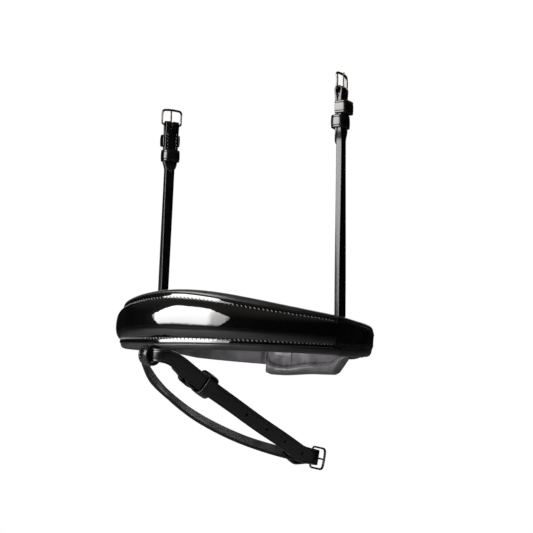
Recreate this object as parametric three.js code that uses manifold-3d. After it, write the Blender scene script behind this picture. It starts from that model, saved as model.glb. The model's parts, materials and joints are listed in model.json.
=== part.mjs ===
// Bridle noseband with a flash strap. A padded band of patent leather goes round a horse's nose and jaw,
// two cheek straps hang it from the headpiece, and a flash strap hangs from a loop under the nose and goes
// round the chin. Millimetres, +Z up. The nose points to -Y and the horse's near (left) side is +X.
// Everything is measured from the centre of the ring that the band makes, at the height of its mid line,
// until the last step, which puts the origin in the middle of the whole part.
import * as THREE from "three";
import { mergeVertices } from "three/addons/utils/BufferGeometryUtils.js";
import Module from "manifold-3d";

const wasm = await Module();
wasm.setup();

const deg = THREE.MathUtils.degToRad;
const vec = (x, y, z) => new THREE.Vector3(x, y, z);

// Driving dimensions
const GAP = 0.3; // between neighbouring layers
const FACE_R = 106.5; // ring axis to the flat margin of the nose panel, outer face
const BAND_TILT = deg(-5); // the nose hangs higher than the jaw
const STEP = deg(5.5); // angle of one segment round the ring

const PANEL_T = 1.5; // patent leather
const BACKING_T = 2.7; // strap leather behind it
const LINING_T = 6.4; // padded lining
const REAR_T = 2.6; // rear straps

const PANEL_END = deg(88); // the nose panel ends where the cheek straps are sewn in
const REAR_START = deg(88.7);
const NEAR_CHEEK_ANGLE = deg(91);
const OFF_CHEEK_ANGLE = deg(-87);
const OFF_SHORTER = 6.5; // the off cheek strap is shorter than the near one by this much
const CHEEK_R = 105.5;
const CHEEK_BASE_Z = 14.5;

const STRAP_W = 13; // half inch bridle leather
const BUCKLE_W = 21;
const BUCKLE_L = 16;
const BUCKLE_WIRE = 2.2;

// Materials
const finish = (name, color, roughness, metalness = 0) =>
  new THREE.MeshStandardMaterial({ name, color, roughness, metalness });
const PATENT = finish("patent_leather", 0x0a0a0b, 0.06);
const LEATHER = finish("bridle_leather", 0x15120f, 0.35);
const LINING = finish("lining_leather", 0x2b2b2e, 0.55);
const STUFFING = finish("stuffing", 0x3a3836, 0.9);
const NICKEL = finish("nickel", 0xa8a19a, 0.25, 1);

// ---------------------------------------------------------------- shape helpers

// A box of nu x nv x nw cells. `place` carries u in 0..1 and v, w in -0.5..0.5 to space.
function bentBox(nu, nv, nw, place) {
  const box = new THREE.BoxGeometry(1, 1, 1, nu, nv, nw);
  box.deleteAttribute("normal");
  box.deleteAttribute("uv");
  const solid = mergeVertices(box);
  const position = solid.attributes.position;
  for (let i = 0; i < position.count; i++) {
    const p = place(position.getX(i) + 0.5, position.getY(i), position.getZ(i));
    position.setXYZ(i, p.x, p.y, p.z);
  }
  return solid;
}

function toSolid(geometry) {
  const bare = geometry.index ? geometry.toNonIndexed() : geometry.clone();
  bare.deleteAttribute("normal");
  bare.deleteAttribute("uv");
  const merged = mergeVertices(bare, 1e-4);
  return new wasm.Manifold(
    new wasm.Mesh({
      numProp: 3,
      vertProperties: merged.attributes.position.array,
      triVerts: new Uint32Array(merged.index.array),
    }),
  );
}

function toGeometry(solid) {
  const mesh = solid.getMesh();
  const geometry = new THREE.BufferGeometry();
  geometry.setAttribute("position", new THREE.BufferAttribute(mesh.vertProperties, 3));
  geometry.setIndex(new THREE.BufferAttribute(mesh.triVerts, 1));
  geometry.computeVertexNormals();
  return geometry;
}

const join = (first, ...others) =>
  toGeometry(others.reduce((solid, other) => solid.add(toSolid(other)), toSolid(first)));

const cut = (first, ...tools) =>
  toGeometry(tools.reduce((solid, tool) => solid.subtract(toSolid(tool)), toSolid(first)));

const moved = (geometry, matrix) => geometry.clone().applyMatrix4(matrix);

// The frame whose columns are x, y and z, standing at `origin`.
const frameAt = (x, y, z, origin) => new THREE.Matrix4().makeBasis(x, y, z).setPosition(origin);

// A shape in the (y, z) plane, extruded along x and centred on it.
function plateX(shape, thickness, curveSegments = 4) {
  const plate = new THREE.ExtrudeGeometry(shape, { depth: thickness, bevelEnabled: false, curveSegments });
  plate.translate(0, 0, -thickness / 2);
  return moved(plate, frameAt(vec(0, 1, 0), vec(0, 0, 1), vec(1, 0, 0), vec(0, 0, 0)));
}

// A shape in the (x, y) plane, extruded along z and centred on it.
function plateZ(shape, thickness, curveSegments = 3) {
  const plate = new THREE.ExtrudeGeometry(shape, { depth: thickness, bevelEnabled: false, curveSegments });
  return plate.translate(0, 0, -thickness / 2);
}

// Traces a rectangle with rounded corners; `arch` lifts the middle of its top edge.
function roundedRect(path, left, right, bottom, top, radius, arch = 0) {
  path.moveTo(left + radius, bottom);
  path.lineTo(right - radius, bottom);
  path.quadraticCurveTo(right, bottom, right, bottom + radius);
  path.lineTo(right, top - radius);
  path.quadraticCurveTo(right, top, right - radius, top);
  if (arch > 0) path.quadraticCurveTo((left + right) / 2, top + 2 * arch, left + radius, top);
  else path.lineTo(left + radius, top);
  path.quadraticCurveTo(left, top, left, top - radius);
  path.lineTo(left, bottom + radius);
  path.quadraticCurveTo(left, bottom, left + radius, bottom);
  return path;
}

const rodY = (radius, length, sides = 16) => new THREE.CylinderGeometry(radius, radius, length, sides);

function mesh(name, geometry, material) {
  const part = new THREE.Mesh(geometry, material);
  part.name = name;
  return part;
}

function group(...children) {
  const g = new THREE.Group();
  g.add(...children);
  return g;
}

const smooth = THREE.MathUtils.smoothstep;
const lerp = THREE.MathUtils.lerp;

// ---------------------------------------------------------------- the ring

// The point at an angle from the nose (towards the near side), a radius and a height.
const onRing = (angle, radius, height) => vec(radius * Math.sin(angle), -radius * Math.cos(angle), height);

// A band round the ring. Heights and radii are functions of the angle; radii also take v, -0.5 at the band's
// bottom edge and 0.5 at its top edge.
function ringBand({ from, to, bottom, top, inner, outer, rows = 1 }) {
  const columns = Math.max(2, Math.round((to - from) / STEP));
  return bentBox(columns, rows, 1, (u, v, w) => {
    const angle = lerp(from, to, u);
    const radius = w < 0 ? inner(angle, v) : outer(angle, v);
    return onRing(angle, radius, lerp(bottom(angle), top(angle), v + 0.5));
  });
}

// A size that has one value at the nose and another at the cheeks.
const noseToCheek = (nose, cheek, power) => (angle) =>
  cheek + (nose - cheek) * (1 - Math.min(1, Math.abs(angle) / deg(90)) ** power);

// 1 at the peak's angle, falling away on both sides of it. Both angles are in degrees.
const bell = (angle, peak, width) => Math.exp(-(((angle - deg(peak)) / deg(width)) ** 2));

// The band stands highest a little to the near side of the nose.
const panelTop = (angle) => 11.2 + 8.2 * bell(angle, 11, 34.5);
const panelBottom = noseToCheek(-21.6, -13, 1.5);
const liningTop = (angle) => 13.4 + 9.3 * bell(angle, 17, 41);
const liningBottom = noseToCheek(-25.5, -18.4, 1.5);
const domeHeight = noseToCheek(6.2, 1.2, 1.2);

const DOME_REACH = 0.4; // the dome's edge, as a part of the panel's height from its middle
const domeShape = (v) => Math.sqrt(Math.max(0, 1 - (v / DOME_REACH) ** 2));

const DOME_ROWS = 10; // rows of the panel's grid; the filler uses the same ones
const domeFace = (angle, v) => FACE_R + domeHeight(angle) * domeShape(v);

function nosePanel() {
  return ringBand({
    from: -PANEL_END,
    to: PANEL_END,
    bottom: panelBottom,
    top: panelTop,
    inner: (angle, v) => domeFace(angle, v) - PANEL_T,
    outer: domeFace,
    rows: DOME_ROWS,
  });
}

// The stuffing that raises the dome.
function noseFiller() {
  const end = PANEL_END - 5 * STEP;
  const share = 0.6; // of the panel's height
  const edge = (side) => (angle) => lerp(panelBottom(angle), panelTop(angle), 0.5 + (side * share) / 2);
  return ringBand({
    from: -end,
    to: end,
    bottom: edge(-1),
    top: edge(1),
    inner: () => FACE_R - PANEL_T,
    outer: (angle, v) => domeFace(angle, v * share) - PANEL_T - GAP,
    rows: DOME_ROWS * share,
  });
}

const BACKING_OUT = FACE_R - PANEL_T - GAP;
const BACKING_IN = BACKING_OUT - BACKING_T;

const LOOP_ANGLE = deg(2.6); // the flash loop sits a little to the near side of the ring's middle
const LOOP_W = 10;
const TAB_HALF = LOOP_W / 2 / FACE_R;

function noseBacking() {
  const strap = ringBand({
    from: -deg(84),
    to: deg(84),
    bottom: (angle) => panelBottom(angle) + 0.2,
    top: (angle) => panelTop(angle) - 0.2,
    inner: () => BACKING_IN,
    outer: () => BACKING_OUT,
  });
  const notch = ringBand({
    from: LOOP_ANGLE - TAB_HALF * 1.1,
    to: LOOP_ANGLE + TAB_HALF * 1.1,
    bottom: () => -30,
    top: () => -8.5,
    inner: () => BACKING_IN - 2,
    outer: () => BACKING_OUT + 2,
  });
  return cut(strap, notch);
}

// Padding: thinner towards its two edges, on the side that touches the horse.
function padding({ from, to, bottom, top, outer, thickness }) {
  const pillow = (v) => Math.max(0.45, Math.sqrt(Math.max(0, 1 - (2 * v) ** 4)));
  return ringBand({
    from,
    to,
    bottom,
    top,
    inner: (angle, v) => outer(angle) - thickness * pillow(v),
    outer,
    rows: 4,
  });
}

const LINING_OUT = BACKING_IN - GAP;
const LINING_END = deg(93.6); // behind the feet of the cheek straps

const noseLining = () =>
  padding({
    from: -LINING_END,
    to: LINING_END,
    bottom: liningBottom,
    top: liningTop,
    outer: () => LINING_OUT,
    thickness: LINING_T,
  });

// ---------------------------------------------------------------- rear straps, chin pad and closure

const REAR_OUT = FACE_R - 0.3;
const REAR_IN = REAR_OUT - REAR_T;
const REAR_MID = REAR_OUT - REAR_T / 2;
const REAR_HALF = 6.6; // half the width of the rear straps
const REAR_DROP = -6; // height of the rear straps' mid line behind the jaw

const CLOSURE_ANGLE = deg(230); // the hinge bar of the rear buckle
const BILLET_TIP = deg(252);
const BILLET_LIFT = 5.9; // the billet rides over the off strap by this much
const HOLE_PITCH = deg(11);

// Mid line and half width of the near strap, from the cheek to the jaw.
const CHEEK_MID = -0.7; // height of the mid line where the rear straps meet the nose panel
const CHEEK_HALF = 11.2; // half their width there
const nearRise = (a) => lerp(CHEEK_MID, 0.5, smooth(a, deg(95), deg(125)));
const nearMid = (a) => lerp(nearRise(a), REAR_DROP, smooth(a, deg(130), deg(160)));
const nearHalf = (a) => lerp(CHEEK_HALF, REAR_HALF, smooth(a, deg(90), deg(128)));
const nearBulge = (a) => 3.4 * bell(a, 121, 16); // the near side stands out from a true circle
const billetLift = (a) => BILLET_LIFT * smooth(a, CLOSURE_ANGLE - deg(8.5), CLOSURE_ANGLE - deg(1.5));

function nearRearStrap() {
  const from = REAR_START;
  const to = BILLET_TIP;
  const point = (a) => 1 - 0.55 * smooth(a, BILLET_TIP - deg(5), BILLET_TIP); // rounded tip
  const columns = Math.round((to - from) / (STEP / 2));
  const strap = bentBox(columns, 1, 1, (u, v, w) => {
    const angle = lerp(from, to, u);
    const radius = REAR_MID + w * REAR_T + billetLift(angle) + nearBulge(angle);
    return onRing(angle, radius, nearMid(angle) + 2 * v * nearHalf(angle) * point(angle));
  });
  const tongueHole = CLOSURE_ANGLE - deg(4.4);
  const holes = [-1, 0, 1].map((i) => {
    const angle = tongueHole + i * HOLE_PITCH;
    const out = onRing(angle, 1, 0);
    const radius = i === 0 ? 2.9 : 1.5;
    const centre = onRing(angle, REAR_MID + billetLift(angle), REAR_DROP);
    return moved(rodY(radius, 14, 12), frameAt(onRing(angle + deg(90), 1, 0), out, vec(0, 0, -1), centre));
  });
  return cut(strap, ...holes);
}

const offMid = (a) => lerp(REAR_DROP, CHEEK_MID, smooth(a, deg(257), deg(268)));
const offHalf = (a) => lerp(REAR_HALF, CHEEK_HALF, smooth(a, deg(257), deg(268)));

// Local frame of the rear closure: x out, y the strap's width, z back along the strap to the billet's root.
function closureFrame(angle, radius, lean = 0) {
  const out = onRing(angle, 1, 0);
  const along = onRing(angle - deg(90), 1, 0);
  const x = out.clone().multiplyScalar(Math.cos(lean)).addScaledVector(along, -Math.sin(lean));
  const z = along.clone().multiplyScalar(Math.cos(lean)).addScaledVector(out, Math.sin(lean));
  return frameAt(x, z.clone().cross(x), z, onRing(angle, radius, REAR_DROP));
}

const EYE_R = 3.9;
const BORE_R = 1.9;

function offRearStrap() {
  const strap = bentBox(22, 1, 1, (u, v, w) => {
    const angle = lerp(CLOSURE_ANGLE, deg(360) - REAR_START, u);
    return onRing(angle, REAR_MID + w * REAR_T, offMid(angle) + 2 * v * offHalf(angle));
  });
  const hinge = closureFrame(CLOSURE_ANGLE, REAR_MID);
  const eye = moved(rodY(EYE_R, 2 * REAR_HALF, 20), hinge);
  const bore = moved(rodY(BORE_R, 3 * REAR_HALF, 14), hinge);
  const slot = moved(new THREE.BoxGeometry(20, 3.8, 12).translate(0, 0, 1.4), hinge);
  return cut(join(strap, eye), bore, slot);
}

const NEAR_LINING_END = deg(146);
const OFF_LINING_START = deg(214.8); // it begins beside the chin pad and hides the closure from inside

function nearRearLining() {
  return padding({
    from: LINING_END + deg(0.3),
    to: NEAR_LINING_END,
    bottom: (a) => lerp(-18.5, -12.2, smooth(a, deg(92), deg(140))),
    top: (a) => nearMid(a) + nearHalf(a) + lerp(3.2, 4.4, smooth(a, deg(100), deg(121))),
    outer: (a) => REAR_IN - GAP + nearBulge(a),
    thickness: LINING_T,
  });
}

function offRearLining() {
  return padding({
    from: OFF_LINING_START,
    to: deg(359.7) - LINING_END,
    bottom: (a) => lerp(-20.3, -18.6, smooth(a, deg(250), deg(266))),
    top: (a) => offMid(a) + offHalf(a) + 2.8,
    outer: () => REAR_MID - EYE_R - GAP,
    thickness: LINING_T - 2,
  });
}

const PAD_FROM = deg(161.2);
const PAD_TO = deg(214);
const PAD_SLANT = deg(7.6); // the near end runs in by this much towards the bottom
const PAD_TOP = 8;
const padBottom = (a) => lerp(-26.7, -29.2, smooth(a, deg(186), deg(206)));
const PAD_OUT = REAR_IN - GAP;

// The near end is slanted: the pad is longer along its top edge.
function chinPad() {
  const corner = 5;
  return bentBox(14, 6, 1, (u, v, w) => {
    const height = v + 0.5;
    const start = PAD_FROM + PAD_SLANT * Math.max(0, 1 - height / 0.4);
    const angle = lerp(start, PAD_TO, u);
    const ends = Math.min(u, 1 - u) * 14 * corner;
    const edge = Math.sqrt(Math.min(1, (ends + 3) / (corner + 3)));
    const bulge = Math.max(0.4, Math.sqrt(Math.max(0, 1 - (2 * v) ** 4)) * edge);
    const z = lerp(padBottom(angle) + (1 - edge) * corner, PAD_TOP - (1 - edge) * corner, height);
    const radius = w < 0 ? PAD_OUT - 9 * bulge : PAD_OUT;
    return onRing(angle, radius, z);
  });
}

// An open arch over a strap lying on the x = 0 plane. Its legs end at x = foot.
function archShape(halfWidth, foot, height, leather) {
  const radius = 2.4;
  const out = halfWidth + leather;
  const shape = new THREE.Shape();
  shape.moveTo(foot, -out);
  shape.lineTo(height + leather - radius, -out);
  shape.quadraticCurveTo(height + leather, -out, height + leather, -out + radius);
  shape.lineTo(height + leather, out - radius);
  shape.quadraticCurveTo(height + leather, out, height + leather - radius, out);
  shape.lineTo(foot, out);
  shape.lineTo(foot, halfWidth);
  shape.lineTo(height - 1, halfWidth);
  shape.lineTo(height, halfWidth - 1);
  shape.lineTo(height, -halfWidth + 1);
  shape.lineTo(height - 1, -halfWidth);
  shape.lineTo(foot, -halfWidth);
  return shape;
}

// A closed keeper that slides on a strap.
function runnerShape(xMin, xMax, halfWidth, leather) {
  const shape = roundedRect(new THREE.Shape(), xMin, xMax, -halfWidth, halfWidth, 3);
  const hole = new THREE.Path();
  roundedRect(hole, xMin + leather, xMax - leather, -halfWidth + leather, halfWidth - leather, 1.6);
  shape.holes.push(hole);
  return shape;
}

// A buckle frame round its hinge bar, which lies on y; it reaches up z. The top bar is slightly arched.
function buckleFrame(width, length) {
  const wire = BUCKLE_WIRE;
  const low = -wire / 2;
  const arch = 0.8;
  const shape = roundedRect(new THREE.Shape(), -width / 2, width / 2, low, low + length - arch, 2.6, arch);
  const hole = new THREE.Path();
  const left = -width / 2 + wire;
  roundedRect(hole, left, -left, low + wire, low + length - arch - wire, 1, arch);
  shape.holes.push(hole);
  return plateX(shape, wire);
}

// The tongue: an eye round the hinge bar and a shank that rests on the outside of the top bar.
function buckleTongue(length, tipX = 2.5) {
  const eye = new THREE.Shape().absarc(0, 0, 3.1, 0, 2 * Math.PI);
  eye.holes.push(new THREE.Path().absarc(0, 0, BORE_R, 0, 2 * Math.PI));
  const ring = plateZ(eye, 2.4, 8).rotateX(Math.PI / 2);
  const root = vec(1.2, 0, 2.2);
  const tip = vec(tipX, 0, length - 1.2);
  const along = tip.clone().sub(root).normalize();
  const across = vec(0, 1, 0);
  const out = along.clone().cross(across).negate();
  const shank = bentBox(2, 1, 1, (u, v, w) =>
    root
      .clone()
      .lerp(tip, u)
      .addScaledVector(across, -v * 2.2)
      .addScaledVector(out, w * 1.5),
  );
  return join(ring, shank);
}

const REAR_BUCKLE_W = 21;
const REAR_BUCKLE_L = 19;

function rearClosure() {
  const lean = deg(11);
  const buckle = group(
    mesh("rear_buckle_frame", buckleFrame(REAR_BUCKLE_W, REAR_BUCKLE_L), NICKEL),
    mesh("rear_buckle_tongue", buckleTongue(REAR_BUCKLE_L, 2.7), NICKEL),
  );
  buckle.applyMatrix4(closureFrame(CLOSURE_ANGLE, REAR_MID, lean));

  const leather = 1.5;
  const reach = BILLET_LIFT + REAR_T / 2 + GAP;
  const fixed = mesh(
    "rear_fixed_keeper",
    plateZ(archShape(REAR_HALF + GAP, -REAR_T / 2, reach + 1.2, leather), 9),
    LEATHER,
  );
  fixed.applyMatrix4(closureFrame(deg(237.5), REAR_MID));

  const wall = 1.3;
  const inside = -REAR_T / 2 - 0.5 - wall;
  const runner = mesh(
    "rear_runner_keeper",
    plateZ(runnerShape(inside, reach + 1.4 + wall, REAR_HALF + 0.6 + wall, wall), 9),
    LEATHER,
  );
  runner.applyMatrix4(closureFrame(deg(245), REAR_MID));
  return [buckle, fixed, runner];
}

function chinPadLoop(name, angle) {
  const leather = 1.5;
  const arch = archShape(REAR_HALF + 0.6, -REAR_T / 2 - GAP + 0.01, REAR_T / 2 + 0.7, leather);
  const loop = mesh(name, plateZ(arch, 9), LEATHER);
  loop.applyMatrix4(closureFrame(angle, REAR_MID));
  return loop;
}

// ---------------------------------------------------------------- flash loop

const LOOP_CENTRE = vec(5, -110.5, -21.5);
const LOOP_OUT = 8.6;
const LOOP_IN = 6.1;

function flashLoop() {
  const ring = new THREE.Shape().absarc(0, 0, LOOP_OUT, 0, 2 * Math.PI);
  ring.holes.push(new THREE.Path().absarc(0, 0, LOOP_IN, 0, 2 * Math.PI));
  const loop = plateX(ring, LOOP_W, 10).translate(LOOP_CENTRE.x, LOOP_CENTRE.y, LOOP_CENTRE.z);
  const tab = ringBand({
    from: LOOP_ANGLE - TAB_HALF,
    to: LOOP_ANGLE + TAB_HALF,
    bottom: () => -26.3,
    top: () => -9,
    inner: () => BACKING_IN + 0.2,
    outer: () => BACKING_OUT - 0.2,
  }).rotateX(BAND_TILT);
  return join(loop, tab);
}

// ---------------------------------------------------------------- cheek straps

const BAR_Z = 182; // hinge bar of the cheek buckle above the strap's sewn end
const TAB_Z = 149; // the strap is full width above this
const NECK_Z = 140; // and narrow below this
const STEM_W = 8.6;
const STEM_T = 4.8;
const TAB_T = 3.4;
const TAIL_T = 2.2;
const TAB_OUT = (TAB_T + GAP + TAIL_T) / 2; // outer face of the tab
const TAIL_END = 139;
const TWIST = deg(17); // the strap twists so that the buckle faces a little backwards
const CHEEK_EYE_R = 3.6;
const KEEPER_H = 10.5;
const FIXED_KEEPER_Z = BAR_Z - 14.6;
const RUNNER_Z = BAR_Z - 26.2;

// One leather strap, folded round the buckle bar, with its end turned back on the inner side.
function cheekStrapLeather(shorter) {
  const width = (z) => lerp(STEM_W, STRAP_W, smooth(z, NECK_Z, TAB_Z));
  const thick = (z) => lerp(STEM_T, TAB_T, smooth(z, NECK_Z, TAB_Z));
  const middle = (z) => lerp(0, TAB_OUT - TAB_T / 2, smooth(z, NECK_Z, TAB_Z));
  const main = bentBox(40, 1, 1, (u, v, w) => {
    const z = u * BAR_Z;
    return vec(middle(z) + w * thick(z), -v * width(z), z);
  });
  const foot = rodY(STEM_T / 2, STEM_W, 16);
  const tail = bentBox(8, 1, 1, (u, v, w) => {
    const z = lerp(TAIL_END, BAR_Z, u);
    const taper = lerp(0.3, 1, Math.min(1, (z - TAIL_END) / 8));
    return vec(-TAB_OUT + TAIL_T / 2 + w * TAIL_T, -v * STRAP_W * taper, z);
  });
  const eye = rodY(CHEEK_EYE_R, STRAP_W, 20).translate(0, 0, BAR_Z);
  const bore = rodY(BORE_R, 2 * STRAP_W, 14).translate(0, 0, BAR_Z);
  const slot = new THREE.BoxGeometry(12, 3.6, 12).translate(0, 0, BAR_Z + 1.7);
  const leather = cut(join(main, foot, tail, eye), bore, slot);
  twisted(leather, (z) => TWIST * smooth(z, 10, NECK_Z));
  const position = leather.attributes.position;
  for (let i = 0; i < position.count; i++) {
    const z = position.getZ(i);
    position.setZ(i, z - shorter * Math.min(1, Math.max(0, (z - 10) / (NECK_Z - 20))));
  }
  return leather;
}

function twisted(geometry, angleAt) {
  const position = geometry.attributes.position;
  const up = vec(0, 0, 1);
  const p = vec(0, 0, 0);
  for (let i = 0; i < position.count; i++) {
    p.fromBufferAttribute(position, i).applyAxisAngle(up, angleAt(position.getZ(i)));
    position.setXYZ(i, p.x, p.y, p.z);
  }
  return geometry;
}

// `side` is near or off. The off strap is the mirror image of the near one.
function cheekStrap(side, angle, lean, shorter = 0, runnerDrop = 0) {
  const fittings = group(
    mesh(`${side}_cheek_fixed_keeper`, cheekFixedKeeper(), LEATHER),
    mesh(`${side}_cheek_runner_keeper`, cheekRunnerKeeper().translate(0, 0, -runnerDrop), LEATHER),
    mesh(`${side}_cheek_buckle_frame`, buckleFrame(BUCKLE_W, BUCKLE_L).translate(0, 0, BAR_Z), NICKEL),
    mesh(`${side}_cheek_buckle_tongue`, buckleTongue(BUCKLE_L).translate(0, 0, BAR_Z), NICKEL),
  );
  fittings.rotation.z = TWIST;
  fittings.position.z = -shorter;
  const strap = group(mesh(`${side}_cheek_strap`, cheekStrapLeather(shorter), LEATHER), fittings);
  const mirror = side === "near" ? 1 : -1;
  strap.scale.x = mirror;
  strap.rotation.y = -mirror * lean;
  strap.position.copy(onRing(angle, CHEEK_R, CHEEK_BASE_Z));
  return strap;
}

function cheekFixedKeeper() {
  const arch = archShape(STRAP_W / 2 + GAP, -TAB_OUT + 1, TAB_OUT + 4, 1.5);
  return plateZ(arch, KEEPER_H).translate(0, 0, FIXED_KEEPER_Z);
}

const cheekRunnerKeeper = () => plateZ(runnerShape(-7.3, 5.9, 8.5, 1.6), KEEPER_H).translate(0, 0, RUNNER_Z);

// The sewn-in end of a cheek strap, skived thin, between the backing and the outer leather.
const cheekFoot = (angle) =>
  ringBand({
    from: angle - deg(2.3),
    to: angle + deg(2.3),
    bottom: () => -9,
    top: () => 10.8,
    inner: () => BACKING_IN,
    outer: () => REAR_IN - GAP,
  });

// ---------------------------------------------------------------- flash strap

const FLASH_W = 13.5;
const FLASH_T = 2.6;
const FLASH_TAIL_T = 2;
const FLASH_EYE_R = 3.5;
const FOLD_OFFSET = (FLASH_TAIL_T + GAP) / 2; // from a folded strap's own mid line to the buckle bar

// A strap along a smooth curve through stations { at, out, width, thick }. `out` is normal to its outer face.
function stripAlong(stations) {
  const path = new THREE.CatmullRomCurve3(
    stations.map((s) => s.at),
    false,
    "centripetal",
  );
  const between = (t) => {
    const place = Math.min(t, 0.99999) * (stations.length - 1);
    const i = Math.floor(place);
    return [stations[i], stations[i + 1], place - i];
  };
  // Where the strap is at t of its stations: its middle, and its directions along, across and out.
  return (t) => {
    const [a, b, f] = between(t);
    const along = path.getTangent(Math.min(t, 0.99999));
    const across = a.out.clone().lerp(b.out, f).cross(along).normalize();
    const out = along.clone().cross(across);
    const width = lerp(a.width ?? FLASH_W, b.width ?? FLASH_W, f);
    const thick = lerp(a.thick ?? FLASH_T, b.thick ?? FLASH_T, f);
    return { at: path.getPoint(Math.min(t, 0.99999)), along, across, out, width, thick };
  };
}

const stripSolid = (strip, columns, from = 0, to = 1, shift = 0, thickness = 0) =>
  bentBox(columns, 1, 1, (u, v, w) => {
    const s = strip(lerp(from, to, u));
    const thick = thickness || s.thick;
    return s.at.addScaledVector(s.across, v * s.width).addScaledVector(s.out, shift + w * thick);
  });

const stripFrame = ({ at, along, out }) => frameAt(out, along.clone().cross(out), along, at);

function holeThrough({ at, along, out }, radius) {
  return moved(rodY(radius, 12, 12), frameAt(along, out, along.clone().cross(out), at));
}

// Buckle axes: `out` faces away from the chin, `reach` runs from the hinge bar to the front bar.
function buckleAxes(bar, reach, out) {
  const z = reach.clone().normalize();
  const x = out.clone().addScaledVector(z, -out.dot(z)).normalize();
  return frameAt(x, z.clone().cross(x), z, bar);
}

// A strap end folded round a buckle bar: the eye, the turned-back tail on the inside and the tongue's slot.
function foldRound(strap, strip, axes, columns, tailTo) {
  const inward = -FLASH_T / 2 - GAP - FLASH_TAIL_T / 2;
  const tail = stripSolid(strip, columns, 0.002, tailTo, inward, FLASH_TAIL_T);
  const eye = moved(rodY(FLASH_EYE_R, FLASH_W, 20), axes);
  const bore = moved(rodY(BORE_R, 2 * FLASH_W, 14), axes);
  const slot = moved(new THREE.BoxGeometry(12, 3.6, 12).translate(0, 0, 1.8), axes);
  return cut(join(strap, tail, eye), bore, slot);
}

// The chin buckle, at the far end, on the long strap.
const CHIN_BAR = vec(-1.8, 87.3, -109.2);
const CHIN_REACH = vec(0.254, 0.945, -0.203);
const CHIN_OUT = vec(-0.951, 0.245, -0.05);
const chinAxes = buckleAxes(CHIN_BAR, CHIN_REACH, CHIN_OUT);

// The front buckle, on the short chin strap, hangs open beside the flash loop.
const FRONT_BAR = vec(8, -78.6, -34.8);
const FRONT_REACH = vec(-0.02, -0.73, 0.68);
const FRONT_OUT = vec(0.82, 0.38, 0.43);
const frontAxes = buckleAxes(FRONT_BAR, FRONT_REACH, FRONT_OUT);

const NEAR_FACE = vec(0.93, -0.1, -0.35); // the near run faces out and a little down
const OFF_FACE = vec(-0.69, -0.26, -0.67); // the off run lies flatter

// The long strap: chin buckle, off run, through the flash loop, near run, tip.
const longStrip = stripAlong([
  { at: CHIN_BAR.clone().addScaledVector(CHIN_OUT, FOLD_OFFSET), out: CHIN_OUT },
  { at: vec(-5, 78, -108.2), out: CHIN_OUT.clone().lerp(OFF_FACE, 0.5) },
  { at: vec(-9, 67.9, -106.8), out: OFF_FACE },
  { at: vec(-15, 39.6, -100), out: OFF_FACE },
  { at: vec(-22, 16.7, -92.4), out: OFF_FACE },
  { at: vec(-27, -8.8, -82.1), out: OFF_FACE },
  { at: vec(-30, -34.3, -69.8), out: OFF_FACE },
  { at: vec(-29, -62, -53.6), out: OFF_FACE },
  { at: vec(-25, -82.8, -39.5), out: vec(-0.85, -0.3, -0.45) },
  { at: vec(-20, -94.5, -29.5), out: vec(-0.8, -0.5, -0.3), width: 12.5 },
  { at: vec(-11, -105, -22.5), out: vec(-0.5, -0.86, -0.1), width: 11, thick: 3.6 },
  { at: vec(-2, -110.2, -21.5), out: vec(0, -1, 0), width: 10.4, thick: 4.2 },
  { at: vec(5, -110.5, -21.5), out: vec(0, -1, 0), width: 10.4, thick: 4.2 },
  { at: vec(12, -109.8, -21.5), out: vec(0.1, -1, 0), width: 10.4, thick: 4.2 },
  { at: vec(18.5, -102.5, -22.8), out: vec(0.75, -0.6, -0.1), width: 11.5, thick: 3.4 },
  { at: vec(19.5, -92, -27.5), out: vec(0.92, -0.3, -0.25), width: 12.5, thick: 2.8 },
  { at: vec(18, -77.6, -35.6), out: NEAR_FACE },
  { at: vec(15.5, -51.8, -48.9), out: NEAR_FACE },
  { at: vec(15, -24.5, -63), out: NEAR_FACE },
  { at: vec(14, 5.1, -78.1), out: NEAR_FACE },
  { at: vec(11.5, 37.9, -93.1), out: NEAR_FACE },
  { at: vec(9, 64.8, -105.7), out: NEAR_FACE },
  { at: vec(8, 76.5, -110.2), out: vec(0.95, -0.17, -0.15), width: 8 },
]);

function longStrap() {
  const strap = stripSolid(longStrip, 58);
  const holes = [0.8373, 0.875, 0.909, 0.9486].map((t) => holeThrough(longStrip(t), 1.3));
  return cut(foldRound(strap, longStrip, chinAxes, 8, 0.105), ...holes);
}

// The short chin strap lies behind the near run, wraps the chin buckle's eye and ends under the off run.
const UNDER = 3.4; // mid line to mid line of two straps that lie on each other
const WRAP = 5.3; // from the chin buckle's bar to the middle of the strap wrapped round it
const under = (x, y, z, by = UNDER) => vec(x, y, z).addScaledVector(NEAR_FACE, -by);
const wrapped = (turn) => {
  const out = CHIN_REACH.clone().multiplyScalar(Math.cos(turn)).addScaledVector(CHIN_OUT, Math.sin(turn));
  return { at: CHIN_BAR.clone().addScaledVector(out, WRAP), out };
};
const chinStrip = stripAlong([
  { at: FRONT_BAR.clone().addScaledVector(FRONT_OUT, FOLD_OFFSET), out: FRONT_OUT },
  { at: vec(10.2, -70.5, -39.8), out: vec(0.9, 0.15, 0.05) },
  { at: vec(12, -61, -43.6), out: vec(0.93, -0.1, -0.3) },
  { at: under(15.5, -51.8, -49.4), out: NEAR_FACE },
  { at: under(15, -24.5, -63), out: NEAR_FACE },
  { at: under(14, 5.1, -78.1), out: NEAR_FACE },
  { at: under(11.5, 37.9, -93.1), out: NEAR_FACE },
  { at: under(9, 64.8, -105.7, UNDER + 0.6), out: NEAR_FACE },
  ...[-95, -50, 0, 50, 95].map((turn) => wrapped(deg(turn))),
  { at: vec(-11.5, 76, -110), out: CHIN_OUT.clone().lerp(OFF_FACE, 0.5) },
  { at: vec(-12.3, 66.5, -110), out: OFF_FACE, width: 9 },
]);

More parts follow.
